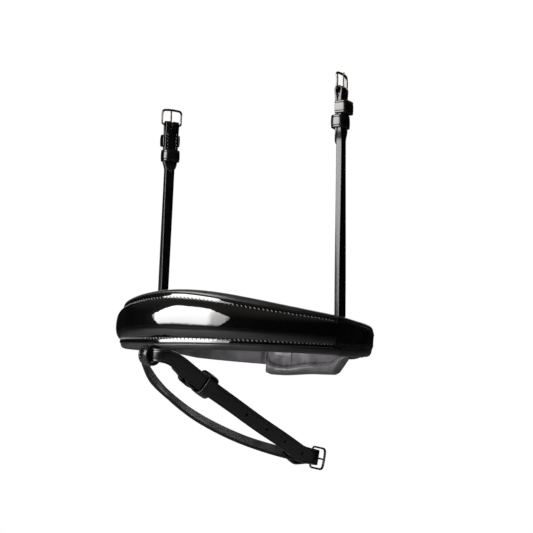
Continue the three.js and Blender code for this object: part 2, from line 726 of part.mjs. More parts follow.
function chinStrap() {
  const strap = stripSolid(chinStrip, 44);
  const tongueHole = moved(new THREE.BoxGeometry(6, 3.4, 8).translate(3, 0, 6), chinAxes);
  return cut(foldRound(strap, chinStrip, frontAxes, 8, 0.21), tongueHole);
}

function flashKeeper() {
  const wall = 1.5;
  const place = longStrip(0.7627);
  const chinSide = -FLASH_T * 1.5 - UNDER - FLASH_TAIL_T - wall - 1.4;
  const shape = runnerShape(chinSide, FLASH_T / 2 + 0.7 + wall, FLASH_W / 2 + 2 + wall, wall);
  const keeper = mesh("flash_runner_keeper", plateZ(shape, 11), LEATHER);
  keeper.applyMatrix4(stripFrame(place));
  return keeper;
}

function flashBuckle(name, axes) {
  const buckle = group(
    mesh(`flash_${name}_buckle_frame`, buckleFrame(BUCKLE_W, BUCKLE_L), NICKEL),
    mesh(`flash_${name}_buckle_tongue`, buckleTongue(BUCKLE_L), NICKEL),
  );
  buckle.applyMatrix4(axes);
  return buckle;
}

// ---------------------------------------------------------------- the whole noseband

const band = group(
  mesh("nose_panel", nosePanel(), PATENT),
  mesh("nose_filler", noseFiller(), STUFFING),
  mesh("nose_backing", noseBacking(), LEATHER),
  mesh("nose_lining", noseLining(), LINING),
  mesh("near_rear_strap", nearRearStrap(), LEATHER),
  mesh("near_rear_lining", nearRearLining(), LINING),
  mesh("off_rear_strap", offRearStrap(), LEATHER),
  mesh("off_rear_lining", offRearLining(), LINING),
  mesh("chin_pad", chinPad(), LINING),
  chinPadLoop("chin_pad_near_loop", deg(172)),
  chinPadLoop("chin_pad_off_loop", deg(205)),
  mesh("near_cheek_foot", cheekFoot(NEAR_CHEEK_ANGLE), LEATHER),
  mesh("off_cheek_foot", cheekFoot(OFF_CHEEK_ANGLE), LEATHER),
  ...rearClosure(),
);
band.rotation.x = BAND_TILT;

const noseband = group(
  band,
  mesh("flash_loop", flashLoop(), LEATHER),
  mesh("flash_long_strap", longStrap(), LEATHER),
  mesh("flash_chin_strap", chinStrap(), LEATHER),
  flashKeeper(),
  flashBuckle("chin", chinAxes),
  flashBuckle("front", frontAxes),
  cheekStrap("near", NEAR_CHEEK_ANGLE, deg(0.9)),
  cheekStrap("off", OFF_CHEEK_ANGLE, deg(2), OFF_SHORTER, 2.6),
);

// The origin becomes the middle of the box round the whole part: above the band and a little forward.
noseband.position.set(-1.6, 5.7, -44.7);

export default noseband;
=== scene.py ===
"""Looks of a patent-leather bridle noseband with a flash strap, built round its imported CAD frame.

Lengths are in millimetres until a mesh is made, which is in metres. Angles round the ring are measured from
the nose towards the horse's near side.
"""

import json
import math

import bmesh
import bpy
import numpy as np
from mathutils import Matrix, Vector


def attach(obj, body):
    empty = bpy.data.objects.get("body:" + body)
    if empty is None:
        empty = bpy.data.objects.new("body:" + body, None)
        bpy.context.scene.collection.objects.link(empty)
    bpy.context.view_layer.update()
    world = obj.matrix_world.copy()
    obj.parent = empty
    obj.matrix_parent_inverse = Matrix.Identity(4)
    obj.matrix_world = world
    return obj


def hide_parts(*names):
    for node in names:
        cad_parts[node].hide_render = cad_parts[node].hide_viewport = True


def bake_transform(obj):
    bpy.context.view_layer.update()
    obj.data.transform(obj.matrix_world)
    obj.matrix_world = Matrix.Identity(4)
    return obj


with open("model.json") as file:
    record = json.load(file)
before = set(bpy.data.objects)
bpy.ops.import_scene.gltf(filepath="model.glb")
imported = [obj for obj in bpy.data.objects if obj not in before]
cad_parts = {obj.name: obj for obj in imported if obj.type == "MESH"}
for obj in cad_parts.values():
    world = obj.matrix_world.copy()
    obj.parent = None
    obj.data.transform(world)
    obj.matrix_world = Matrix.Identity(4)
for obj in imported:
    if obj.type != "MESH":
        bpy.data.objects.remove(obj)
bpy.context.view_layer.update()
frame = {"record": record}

MM = 0.001
deg = math.radians
joints = {j["name"]: j for j in frame["record"]["behaviour"]["joints"]}

# Driving dimensions, the same as the CAD part's
GAP = 0.3
FACE_R = 106.5
PANEL_T = 1.5
BACKING_T = 2.7
LINING_T = 6.4
REAR_T = 2.6
PANEL_END = deg(88)
REAR_START = deg(88.7)
LINING_END = deg(93.6)
BACKING_OUT = FACE_R - PANEL_T - GAP
BACKING_IN = BACKING_OUT - BACKING_T
LINING_OUT = BACKING_IN - GAP
REAR_OUT = FACE_R - 0.3
REAR_IN = REAR_OUT - REAR_T
REAR_MID = REAR_OUT - REAR_T / 2
REAR_HALF = 6.6
REAR_DROP = -6.0
CLOSURE_ANGLE = deg(230)
CLOSURE_LEAN = deg(11)
BILLET_TIP = deg(252)
BILLET_LIFT = 5.9
STRAP_W = 13.0
WIRE = 2.2

ring_axis = Vector(joints["chin_pad_slide"]["axis"])
BAND_TILT = math.atan2(-ring_axis.y, ring_axis.z)
RING_CENTRE = np.array(joints["chin_pad_slide"]["pos_m"], float) / MM  # everything below is measured from it


# ---------------------------------------------------------------- small maths


def smooth(x, low, high):
    t = np.clip((np.asarray(x, float) - low) / (high - low), 0, 1)
    return t * t * (3 - 2 * t)


def lerp(a, b, t):
    return a + (b - a) * t


def unit(v):
    v = np.asarray(v, float)
    return v / np.linalg.norm(v, axis=-1, keepdims=True)


def tip_width(reach, power=2.2, least=0.05):
    """Share of a strap's width in its rounded tip, which starts at reach 0 and ends at reach 1."""
    return math.sqrt(max(least, 1 - reach**power))


def plane_normals(points, closed):
    """Unit normals of a line of points in a plane, on its right-hand side."""
    if closed:
        behind, ahead = np.roll(points, 1, axis=0), np.roll(points, -1, axis=0)
    else:
        behind, ahead = np.concatenate([points[:1], points[:-1]]), np.concatenate([points[1:], points[-1:]])
    along = unit(ahead - behind)
    return np.stack([along[:, 1], -along[:, 0]], -1)


def tilted(points):
    """Points of the level ring, turned to the tilt of the band."""
    c, s = math.cos(BAND_TILT), math.sin(BAND_TILT)
    turn = np.array([[1, 0, 0], [0, c, -s], [0, s, c]])
    return np.asarray(points, float) @ turn.T


def on_ring(angle, radius, height):
    angle, radius, height = np.broadcast_arrays(angle, radius, height)
    return np.stack([radius * np.sin(angle), -radius * np.cos(angle), height], -1)


def placed(matrix, points):
    """Local points carried to the frame by a 4x4 matrix in millimetres."""
    m = np.array(matrix, float)
    return np.asarray(points, float) @ m[:3, :3].T + m[:3, 3]


def axes_matrix(x, y, z, origin):
    m = np.eye(4)
    m[:3, 0], m[:3, 1], m[:3, 2], m[:3, 3] = x, y, z, origin
    return m


# ---------------------------------------------------------------- mesh helpers


SHARP = 35  # degrees between two faces from which their edge shows


def new_piece(name, verts, faces, materials, body=None, slots=None, sharp=SHARP):
    """A mesh object from points in millimetres, riding on a CAD body if one is given."""
    mesh = bpy.data.meshes.new(name)
    mesh.from_pydata(((np.asarray(verts, float) + RING_CENTRE) * MM).tolist(), [], faces)
    for material in materials:
        mesh.materials.append(material)
    if slots is not None:
        mesh.polygons.foreach_set("material_index", slots)
    work = bmesh.new()
    work.from_mesh(mesh)
    bmesh.ops.recalc_face_normals(work, faces=work.faces)
    work.to_mesh(mesh)
    work.free()
    mesh.shade_smooth()
    mesh.set_sharp_from_angle(angle=deg(sharp))
    piece = bpy.data.objects.new(name, mesh)
    bpy.context.scene.collection.objects.link(piece)
    if body:
        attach(piece, body)
    return piece


def stands_for(piece, slot, *nodes):
    """Lets the piece replace CAD nodes by hiding them. The slot is not used."""
    if nodes:
        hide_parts(*nodes)


def loft_faces(rows, columns, closed_path=False, caps=True):
    """Faces of a tube through cross-sections of `columns` points, and the column of each face."""
    faces, column = [], []
    last = rows if closed_path else rows - 1
    for i in range(last):
        a, b = i * columns, ((i + 1) % rows) * columns
        for j in range(columns):
            k = (j + 1) % columns
            faces.append((a + j, a + k, b + k, b + j))
            column.append(j)
    if caps and not closed_path:
        faces.append(tuple(range(columns)))
        faces.append(tuple((rows - 1) * columns + j for j in reversed(range(columns))))
        column += [-1, -1]
    return faces, column


def loft(name, rings, materials, body=None, closed_path=False, edge_columns=(), sharp=SHARP):
    """A closed surface through an array of rings (sections, points, 3).

    Edge columns take the second material.
    """
    rings = np.asarray(rings, float)
    rows, columns, _ = rings.shape
    faces, column = loft_faces(rows, columns, closed_path)
    edge = set(edge_columns)
    slots = [1 if (c in edge or c < 0) and len(materials) > 1 else 0 for c in column]
    return new_piece(name, rings.reshape(-1, 3), faces, materials, body, slots, sharp)


def cut_holes(piece, cutters):
    """Cuts closed meshes out of a piece."""
    for cutter in cutters:
        boolean = piece.modifiers.new("hole", "BOOLEAN")
        boolean.operation = "DIFFERENCE"
        boolean.solver = "EXACT"
        boolean.object = cutter
    bpy.context.view_layer.update()
    graph = bpy.context.evaluated_depsgraph_get()
    made = bpy.data.meshes.new_from_object(piece.evaluated_get(graph))
    piece.modifiers.clear()
    piece.data = made
    for cutter in cutters:
        bpy.data.objects.remove(cutter)
    made.set_sharp_from_angle(angle=deg(SHARP))


def rod(centre, axis, radius, length, sides=20, stretch=None):
    """A closed cylinder for cutting. `stretch` is a vector that makes it a slot."""
    axis = unit(axis)
    side = unit(np.cross(axis, [0.3, 0.2, 0.93]) if stretch is None else stretch)
    other = np.cross(axis, side)
    turn = np.linspace(0, 2 * math.pi, sides, endpoint=False)
    circle = np.outer(np.cos(turn), side) * radius + np.outer(np.sin(turn), other) * radius
    if stretch is not None:
        circle += np.outer(np.where(np.cos(turn) >= 0, 1.0, -1.0), stretch)
    rings = np.stack([np.asarray(centre) + circle + axis * t for t in (-length / 2, length / 2)])
    return loft("cutter", rings, [])


# ---------------------------------------------------------------- leather sections and sweeps

CREASE = 1.7  # from a strap's edge to the pressed line along it
ARC = 4  # steps of each rounded edge


def strap_section(half_w, half_t, crown=0.1, edge=0.55, crease=0.12):
    """Cross-section of a strap as (across, out) points: crowned, with rounded edges and pressed lines."""
    r = min(edge, half_t * 0.85)
    flat = half_w - r
    line = max(half_w - CREASE, 0.3 * half_w)
    width = min(0.3, 0.3 * line)
    right = [0, 0.35 * line, 0.7 * line, line - width, line, line + width, flat]
    xs = np.array([-x for x in reversed(right)] + right[1:])
    dip = np.zeros(len(xs))
    dip[np.isclose(np.abs(xs), line)] = crease
    top = half_t - crown * (xs / half_w) ** 2 - dip
    bottom = np.full(len(xs), -half_t)
    side_z = half_t - crown - r
    turn = np.linspace(0, math.pi / 2, ARC + 1)[1:]
    points = list(zip(xs, top))
    points += [(flat + r * math.sin(a), side_z + r * math.cos(a)) for a in turn]
    points += [(flat + r * math.cos(a), -half_t + r - r * math.sin(a)) for a in np.r_[0, turn]]
    points += list(zip(xs[::-1], bottom))[1:]
    points += [(-flat - r * math.sin(a), -half_t + r - r * math.cos(a)) for a in turn]
    points += [(-flat - r * math.cos(a), side_z + r * math.sin(a)) for a in np.r_[0, turn]]
    return np.array(points[:-1])


TOP_POINTS = 13
EDGE_COLUMNS = tuple(range(TOP_POINTS - 1, TOP_POINTS + 2 * ARC)) + tuple(
    range(2 * TOP_POINTS + 2 * ARC - 1, 2 * TOP_POINTS + 4 * ARC)
)


def sweep(name, path, materials, body=None, closed_path=False, section=strap_section, **shape):
    """A strap along a path, a list of (at, across, out, width, thick)."""
    if not closed_path:
        path = rounded_end(path[0], path[1]) + path + rounded_end(path[-1], path[-2])[::-1]
    rings = []
    for at, across, out, width, thick in path:
        s = section(width / 2, thick / 2, **shape)
        rings.append(at + np.outer(s[:, 0], across) + np.outer(s[:, 1], out))
    edges = EDGE_COLUMNS if section is strap_section else ()
    return loft(name, np.array(rings), materials, body, closed_path, edges)


def rounded_end(first, second):
    """Smaller sections beyond the first station of a path, which round its end."""
    at, across, out, width, thick = first
    ahead = unit(np.asarray(at) - np.asarray(second[0]))
    r = min(0.5, 0.42 * thick)
    made = []
    for a in (80, 50, 25):
        shrink = 2 * r * (1 - math.cos(deg(a)))
        made.append((at + ahead * r * math.sin(deg(a)), across, out, width - shrink, thick - shrink))
    return made


STITCH_RINGS = 5
STITCH_SIDES = 6
TURNED_PITCH = 3.0  # of the stitches through turned-back ends and along the jaw pad


def stitches(name, centres, along, up, material, body, length=2.4, radius=0.36, slant=0.0):
    """A row of short thread stitches in one mesh. Each dips into the leather at its two ends."""
    centres, along, up = (np.asarray(a, float) for a in (centres, along, up))
    along, up = unit(along), unit(up)
    across = np.cross(up, along)
    direction = along * math.cos(slant) + across * math.sin(slant)
    side = np.cross(up, direction)
    verts, faces = [], []
    t = np.linspace(-1, 1, STITCH_RINGS)
    turn = np.linspace(0, 2 * math.pi, STITCH_SIDES, endpoint=False)
    for c, d, s, u in zip(centres, direction, side, up):
        base = len(verts)
        for x in t:
            r = radius * math.sqrt(max(0.06, 1 - x**4))
            lift = radius * (0.75 - 1.0 * x**4)
            for a in turn:
                verts.append(c + d * x * length / 2 + s * r * math.cos(a) + u * (lift + r * math.sin(a)))
        stitch, _ = loft_faces(STITCH_RINGS, STITCH_SIDES)
        faces += [tuple(base + i for i in f) for f in stitch]
    return new_piece(name, verts, faces, [material], body, sharp=80)


def spaced(points, pitch, inset):
    """Evenly spaced places along a line of points, from inset to inset: (places, directions)."""
    points = np.asarray(points, float)
    steps = np.linalg.norm(np.diff(points, axis=0), axis=1)
    run = np.r_[0, np.cumsum(steps)]
    length = run[-1] - inset - inset
    count = max(2, int(length / pitch) + 1)
    want = inset + np.arange(count) * length / (count - 1)
    at = np.stack([np.interp(want, run, points[:, k]) for k in range(3)], -1)
    ahead = np.stack([np.interp(want + 0.3, run, points[:, k]) for k in range(3)], -1)
    behind = np.stack([np.interp(want - 0.3, run, points[:, k]) for k in range(3)], -1)
    return at, unit(ahead - behind)


def sewn_rows(name, lines, pitch, thread_material, body, length, radius, slant=0.0, inset=0.0):
    """Rows of stitches in one mesh. Each line is its points and the way out of the leather at each."""
    places, directions, ups = [], [], []
    for points, outs in lines:
        at, along = spaced(points, pitch, inset)
        nearest = [int(np.argmin(np.linalg.norm(points - p, axis=1))) for p in at]
        places.append(at)
        directions.append(along)
        ups.append(outs[nearest])
    rows = [np.concatenate(part) for part in (places, directions, ups)]
    return stitches(name, *rows, thread_material, body, length, radius, slant)


# ---------------------------------------------------------------- materials

BLACK = (0.001, 0.001, 0.001)


def shade(colour, factor):
    return tuple(factor * c for c in colour)


def material(name, colour, roughness, metallic=0.0, coat=0.0, coat_roughness=0.05, specular=0.5):
    """A new material: (material, node tree, put). put(socket, output) drives one of its shader's inputs."""
    made = bpy.data.materials.new(name)
    made.use_nodes = True
    tree = made.node_tree
    sockets = tree.nodes["Principled BSDF"].inputs
    sockets["Base Color"].default_value = (*colour, 1)
    sockets["Roughness"].default_value = roughness
    sockets["Metallic"].default_value = metallic
    sockets["Coat Weight"].default_value = coat
    sockets["Coat Roughness"].default_value = coat_roughness
    sockets["Specular IOR Level"].default_value = specular

    def put(socket, output):
        tree.links.new(output, sockets[socket])

    return made, tree, put


def texture(tree, kind, scale, output, **values):
    place = tree.nodes.new("ShaderNodeTexCoord")
    node = tree.nodes.new(kind)
    node.inputs["Scale"].default_value = scale
    for key, value in values.items():
        node.inputs[key].default_value = value
    tree.links.new(place.outputs["Object"], node.inputs["Vector"])
    return node.outputs[output]


def noise(tree, scale, detail):
    return texture(tree, "ShaderNodeTexNoise", scale, "Fac", Detail=detail)


def ramp(tree, source, *stops, interpolation="LINEAR"):
    """Maps a value to a colour or a number through stops of (place, colour or number)."""
    node = tree.nodes.new("ShaderNodeValToRGB")
    node.color_ramp.interpolation = interpolation
    elements = node.color_ramp.elements
    for place, _ in stops[1:-1]:
        elements.new(place)
    for element, (place, value) in zip(elements, stops):
        element.position = place
        element.color = (*value, 1) if isinstance(value, tuple) else (value, value, value, 1)
    tree.links.new(source, node.inputs["Fac"])
    return node.outputs["Color"]


def mottle(tree, source, low, high):
    """Two tones or two numbers blended by a cloudy texture."""
    return ramp(tree, source, (0.35, low), (0.65, high))


def bump(tree, source, distance, strength, below=None):
    node = tree.nodes.new("ShaderNodeBump")
    node.inputs["Distance"].default_value = distance
    node.inputs["Strength"].default_value = strength
    tree.links.new(source, node.inputs["Height"])
    if below is not None:
        tree.links.new(below, node.inputs["Normal"])
    return node.outputs["Normal"]


def patent_leather():
    """Black lacquered leather: a mirror coat over it, gently rippled."""
    made, tree, put = material("patent", BLACK, 0.3, coat=1.0, coat_roughness=0.02, specular=0.03)
    tree.nodes["Principled BSDF"].inputs["Coat IOR"].default_value = 2.0
    put("Base Color", mottle(tree, noise(tree, 45, 3.0), (0.0008, 0.0008, 0.0009), (0.002, 0.0017, 0.0016)))
    normal = bump(tree, noise(tree, 150, 1.0), 0.0004, 0.22)
    normal = bump(tree, noise(tree, 900, 2.0), 0.0001, 0.06, normal)
    put("Coat Normal", normal)
    put("Normal", normal)
    return made


def bridle_leather(name, colour, gloss, coat):
    """Smooth dyed strap leather with a fine grain and a soft polish."""
    made, tree, put = material(name, colour, gloss, coat=coat, coat_roughness=0.12)
    cloud = noise(tree, 70, 4.0)
    put("Base Color", mottle(tree, cloud, shade(colour, 0.65), shade(colour, 1.6)))
    put("Roughness", mottle(tree, cloud, gloss - 0.06, gloss + 0.1))
    grain = texture(tree, "ShaderNodeTexVoronoi", 1500, "Distance")
    normal = bump(tree, grain, 0.00012, 0.10)
    put("Normal", bump(tree, noise(tree, 420, 5.0), 0.0003, 0.16, normal))
    return made


def edge_leather():
    """Cut and dyed strap edge: fibrous and a little lighter."""
    made, tree, put = material("edge", (0.013, 0.011, 0.01), 0.34, coat=0.3, coat_roughness=0.2)
    fibre = noise(tree, 900, 6.0)
    put("Base Color", mottle(tree, fibre, (0.003, 0.0026, 0.0024), (0.009, 0.0078, 0.007)))
    put("Normal", bump(tree, fibre, 0.0003, 0.3))
    return made


def lining_leather(name, colour):
    """Soft padded lining with a pebbled grain."""
    made, tree, put = material(name, colour, 0.36, coat=0.5, coat_roughness=0.32)
    cloud = noise(tree, 60, 4.0)
    put("Base Color", mottle(tree, cloud, shade(colour, 0.7), shade(colour, 1.35)))
    put("Roughness", mottle(tree, cloud, 0.30, 0.46))
    pebble = texture(tree, "ShaderNodeTexVoronoi", 820, "Distance")
    normal = bump(tree, pebble, 0.0002, 0.22)
    put("Normal", bump(tree, noise(tree, 240, 6.0), 0.0006, 0.25, normal))
    return made


def nickel():
    """Dark nickel plate with faint wear."""
    made, tree, put = material("nickel_plate", (0.13, 0.115, 0.10), 0.12, metallic=1.0)
    wear = noise(tree, 350, 5.0)
    put("Base Color", mottle(tree, wear, (0.09, 0.078, 0.066), (0.17, 0.155, 0.14)))
    put("Roughness", mottle(tree, wear, 0.08, 0.2))
    put("Normal", bump(tree, noise(tree, 2600, 3.0), 0.00008, 0.12))
    return made


def thread(name, low, high):
    """Twisted linen thread."""
    made, tree, put = material(name, high, 0.62)
    strand = texture(tree, "ShaderNodeTexWave", 1400, "Color", Distortion=2.0, Detail=2.0)
    put("Base Color", ramp(tree, strand, (0.1, low), (0.8, high)))
    put("Normal", bump(tree, strand, 0.0002, 0.6))
    return made


def felt():
    """Stuffing under the dome, hidden when the noseband is whole."""
    made, tree, put = material("felt", (0.22, 0.21, 0.2), 0.95)
    fibre = noise(tree, 1200, 8.0)
    put("Base Color", mottle(tree, fibre, (0.14, 0.135, 0.13), (0.3, 0.29, 0.27)))
    put("Normal", bump(tree, fibre, 0.0008, 0.8))
    return made


PATENT = patent_leather()
LEATHER = bridle_leather("bridle", (0.0022, 0.002, 0.0019), 0.3, 0.35)
GLOSSY = bridle_leather("bridle_polished", (0.002, 0.0019, 0.0019), 0.24, 0.6)
EDGE = edge_leather()
LINING = lining_leather("lining", (0.02, 0.0194, 0.0202))
LIGHTENED_LINING = lining_leather("lining_painted_light", (0.13, 0.126, 0.135))  # the lining painted lighter, as painted light on the jaw pad and the off jaw padding where their inner faces catch the light; the real leather is the same
NICKEL = nickel()
WHITE_THREAD = thread("white_thread", (0.14, 0.137, 0.132), (0.42, 0.415, 0.40))
GREY_THREAD = thread("grey_thread", (0.06, 0.06, 0.062), (0.20, 0.20, 0.205))
BLACK_THREAD = thread("black_thread", (0.003, 0.003, 0.003), (0.012, 0.0115, 0.011))
FELT = felt()
STRAP = [LEATHER, EDGE]
POLISHED = [GLOSSY, EDGE]


# ---------------------------------------------------------------- the nose band

ROOT = "noseband"
FULL = deg(90)


def nose_to_cheek(nose, cheek, power):
    return lambda a: cheek + (nose - cheek) * (1 - np.minimum(1, np.abs(a) / FULL) ** power)


def bell(angle, peak, width):
    return np.exp(-(((angle - deg(peak)) / deg(width)) ** 2))


def panel_top(angle):
    return 11.2 + 8.2 * bell(angle, 11, 34.5)


def lining_top(angle):
    return 13.4 + 9.3 * bell(angle, 17, 41)


panel_bottom = nose_to_cheek(-21.6, -13, 1.5)
lining_bottom = nose_to_cheek(-25.5, -18.4, 1.5)
dome_height = nose_to_cheek(6.2, 1.2, 1.2)

DOME_REACH = 0.4
TOP_LEAN = 0.75  # the upper margin leans in towards its edge
STITCH_PITCH = 3.4
STITCH_SLANT = -0.75
stitch_inset = nose_to_cheek(4.1, 2.7, 1.0)


def dome(angle, v, sink=0.0):
    """Radius of the panel's outer face. The dome rises steeply from the stitch line and is round on top."""
    reach = DOME_REACH - 0.012
    q = np.clip(np.abs(v) / reach, 0, 1)
    channel = 0.35 * np.exp(-(((np.abs(v) - reach) / 0.018) ** 2))
    lean = TOP_LEAN * np.clip((v - reach) / (0.5 - reach), 0, 1)
    return FACE_R + dome_height(angle) * (1 - q**2.3) ** 0.62 - channel - lean - sink


def band_rings(angles, section):
    """Cross-sections round the band. section(angle) gives (height, radius) points."""
    rings = []
    for a in angles:
        s = section(a)
        rings.append(tilted(on_ring(a, s[:, 1], s[:, 0])))
    return np.array(rings)


LIP_FROM = 0.488  # in shares of the panel's height from its middle
LIP = 0.35  # how far the lacquer rolls over the cut edge
MARGIN_FROM = 0.4  # the flat back of the panel starts here


def nose_panel():
    field = -0.5 * np.cos(np.linspace(0.215, 0.785, 37) * math.pi)
    rows = np.r_[-0.5, np.linspace(-LIP_FROM, -0.41, 5), field]
    rows = np.unique(np.round(np.r_[rows, -rows], 5))

    def section(a):
        low, high = panel_bottom(a), panel_top(a)
        h = lerp(low, high, rows + 0.5)
        r = dome(a, rows) - LIP * np.clip((np.abs(rows) - LIP_FROM) / (0.5 - LIP_FROM), 0, 1) ** 2
        back = np.where(np.abs(rows) > MARGIN_FROM, FACE_R - PANEL_T, dome(a, rows * 0.97) - PANEL_T)
        outer = np.stack([h, r], -1)
        inner = np.stack([h, back], -1)[::-1]
        return np.concatenate([outer, inner])

    ends = PANEL_END * np.array([1, 0.9995, 0.997, 0.99])
    angles = np.unique(np.r_[np.linspace(-0.98, 0.98, 190) * PANEL_END, ends, -ends])
    panel = loft("panel", band_rings(angles, section), [PATENT], ROOT, sharp=50)
    stands_for(panel, "patent_leather", "nose_panel")


def panel_stitches():
    """A slanting row of white stitches along each edge of the panel."""
    for name, edge, side in (("upper", panel_top, -1), ("lower", panel_bottom, 1)):
        a = np.linspace(-0.985, 0.985, 400) * PANEL_END
        height = edge(a) + side * stitch_inset(a)
        v = (height - panel_bottom(a)) / (panel_top(a) - panel_bottom(a)) - 0.5
        radius = dome(a, v)
        line = (tilted(on_ring(a, radius, height)), tilted(on_ring(a, 1.0, 0.0)))
        row = sewn_rows(
            f"{name}_stitches", [line], STITCH_PITCH, WHITE_THREAD, ROOT,
            length=2.5, radius=0.38, slant=STITCH_SLANT, inset=2,
        )
        stands_for(row, "patent_leather")


CROSS_ANGLE = deg(87.9)


def cross_stitches():
    """Crossed stitches down both ends of the panel."""
    for name, sign in (("near", 1), ("off", -1)):
        places, directions, outs = [], [], []
        for h in np.linspace(-10.5, 7, 7):
            for rise in (-1, 1):
                places.append(tilted(on_ring(sign * CROSS_ANGLE, FACE_R + 0.25, h)))
                directions.append(tilted(on_ring(sign * (CROSS_ANGLE + deg(90)), 1.0, 0.0) + [0, 0, rise]))
                outs.append(tilted(on_ring(sign * CROSS_ANGLE, 1.0, 0.0)))
        cross = stitches(
            f"{name}_cross_stitches", places, directions, outs, BLACK_THREAD, ROOT, length=2.9, radius=0.33
        )
        stands_for(cross, "bridle_leather")


def band_section(low, high, inner, outer, edge=0.6):
    """A flat layer of the band with rounded edges, as (height, radius) points."""
    half = (outer - inner) / 2
    s = strap_section((high - low) / 2, half, 0.0, edge, 0.0)
    return np.stack([s[:, 0] + (low + high) / 2, s[:, 1] + inner + half], -1)


def nose_backing():
    angles = np.linspace(-deg(87.5), deg(87.5), 120)
    section = lambda a: band_section(panel_bottom(a) + 0.2, panel_top(a) - 0.2, BACKING_IN, BACKING_OUT)
    backing = loft("backing", band_rings(angles, section), STRAP, ROOT, edge_columns=EDGE_COLUMNS)
    stands_for(backing, "bridle_leather", "nose_backing")


def padded_section(low, high, panel_low, panel_high, outer, roll_out, inner, pucker=0.0):
    """Padding whose edges roll out past the layer in front of it, as (height, radius) points."""
    back_low, back_high = panel_low + 1.4, panel_high - 1.4
    side = []
    for edge, panel, back in ((high, panel_high, back_high), (low, panel_low, back_low)):
        sign = 1 if edge > panel else -1
        turn = np.linspace(-0.42, 1.0, 16) * math.pi / 2
        mid_r = (roll_out + inner) / 2
        half_r = (roll_out - inner) / 2
        base = panel + sign * 0.35
        rise = abs(edge - base)
        roll = []
        for t in turn:
            h = base + sign * rise * (math.sin(t) if t > 0 else 0.5 * math.sin(t))
            roll.append((h, mid_r + half_r * math.cos(t) ** (0.8 if t > 0 else 2.2)))
        for t in np.linspace(0, 1, 12)[1:]:
            q = t * math.pi / 2
            drop = (5.5 + 0.5 * rise) * (1 - math.cos(q))
            h = edge - sign * drop
            roll.append((h, mid_r - half_r * math.sin(q) ** 0.9))
        roll.insert(0, (back, outer))
        side.append(roll)
    upper, lower = side
    start, stop = upper[-1][0], lower[-1][0]
    inside = []
    for t in np.linspace(0, 1, 14)[1:-1]:
        h = lerp(start, stop, t)
        inside.append((h, inner + pucker * math.sin(math.pi * t) ** 2))
    return np.array(upper + inside + lower[::-1])


LINING_SEAM = 5.5  # from the padding's edge to the seam on its inner face


def nose_lining():
    inner = LINING_OUT - LINING_T

    def section(a):
        return padded_section(
            lining_bottom(a), lining_top(a), panel_bottom(a), panel_top(a), LINING_OUT, FACE_R - 0.9,
            inner + 0.12 * math.sin(a * 23) + 0.1 * math.sin(a * 37 + 1), -0.9,
        )

    angles = np.linspace(-LINING_END, LINING_END, 200)
    lining = loft("nose_padding", band_rings(angles, section), [LINING], ROOT, sharp=60)
    stands_for(lining, "lining_leather", "nose_lining")
    sewn, radius = angles[2:-2], lambda a: inner - 0.75
    seam_row("nose_lining_seam", sewn, lambda a: lining_top(a) - LINING_SEAM, radius, GREY_THREAD)
    seam_row("nose_lining_seam_low", sewn, lambda a: lining_bottom(a) + LINING_SEAM, radius, GREY_THREAD)


def seam_row(name, angles, height, radius, material, pitch=3.4, side=-1):
    """A line of stitches round the band. side is 1 on the outer face and -1 on the inner one."""
    angles = np.asarray(angles)
    line = (tilted(on_ring(angles, radius(angles), height(angles))), tilted(on_ring(angles, 1.0, 0.0)) * side)
    return sewn_rows(name, [line], pitch, material, ROOT, length=2.2, radius=0.27, inset=1.5)


def nose_filler():
    def section(a):
        v = np.linspace(-0.3, 0.3, 21)
        h = lerp(panel_bottom(a), panel_top(a), v + 0.5)
        outer = np.stack([h, dome(a, v) - PANEL_T - GAP], -1)
        inner = np.stack([h, np.full(len(v), FACE_R - PANEL_T)], -1)[::-1]
        return np.concatenate([outer, inner])

    angles = np.linspace(-deg(66), deg(66), 70)
    filler = loft("dome_stuffing", band_rings(angles, section), [FELT], ROOT)
    stands_for(filler, "stuffing", "nose_filler")


# ---------------------------------------------------------------- the jaw band

CHEEK_MID = -0.7
CHEEK_HALF = 11.2


def near_mid(a):
    rise = lerp(CHEEK_MID, 0.5, smooth(a, deg(95), deg(125)))
    return lerp(rise, REAR_DROP, smooth(a, deg(130), deg(160)))


def near_half(a):
    return lerp(CHEEK_HALF, REAR_HALF, smooth(a, deg(90), deg(128)))


def near_bulge(a):
    return 3.4 * bell(a, 121, 16)


def off_mid(a):
    return lerp(REAR_DROP, CHEEK_MID, smooth(a, deg(257), deg(268)))


def off_half(a):
    return lerp(REAR_HALF, CHEEK_HALF, smooth(a, deg(257), deg(268)))


def billet_lift(a):
    return BILLET_LIFT * smooth(a, CLOSURE_ANGLE - deg(8.5), CLOSURE_ANGLE - deg(1.5))


def ring_station(a, radius, height, width, thick):
    at = tilted(on_ring(a, radius, height))
    return at, tilted(np.array([0, 0, 1.0])), tilted(on_ring(a, 1.0, 0.0)), width, thick


JAW_STITCH_INSET = 2.4


def jaw_stitches(name, sewn, mid, half, radius):
    """Rows along both edges of a jaw strap's outer face."""
    for edge, side in (("upper", 1), ("lower", -1)):
        height = lambda a: mid(a) + side * (half(a) - JAW_STITCH_INSET)
        row = seam_row(f"{name}_{edge}_stitches", sewn, height, radius, BLACK_THREAD, pitch=3.3, side=1)
        stands_for(row, "bridle_leather")


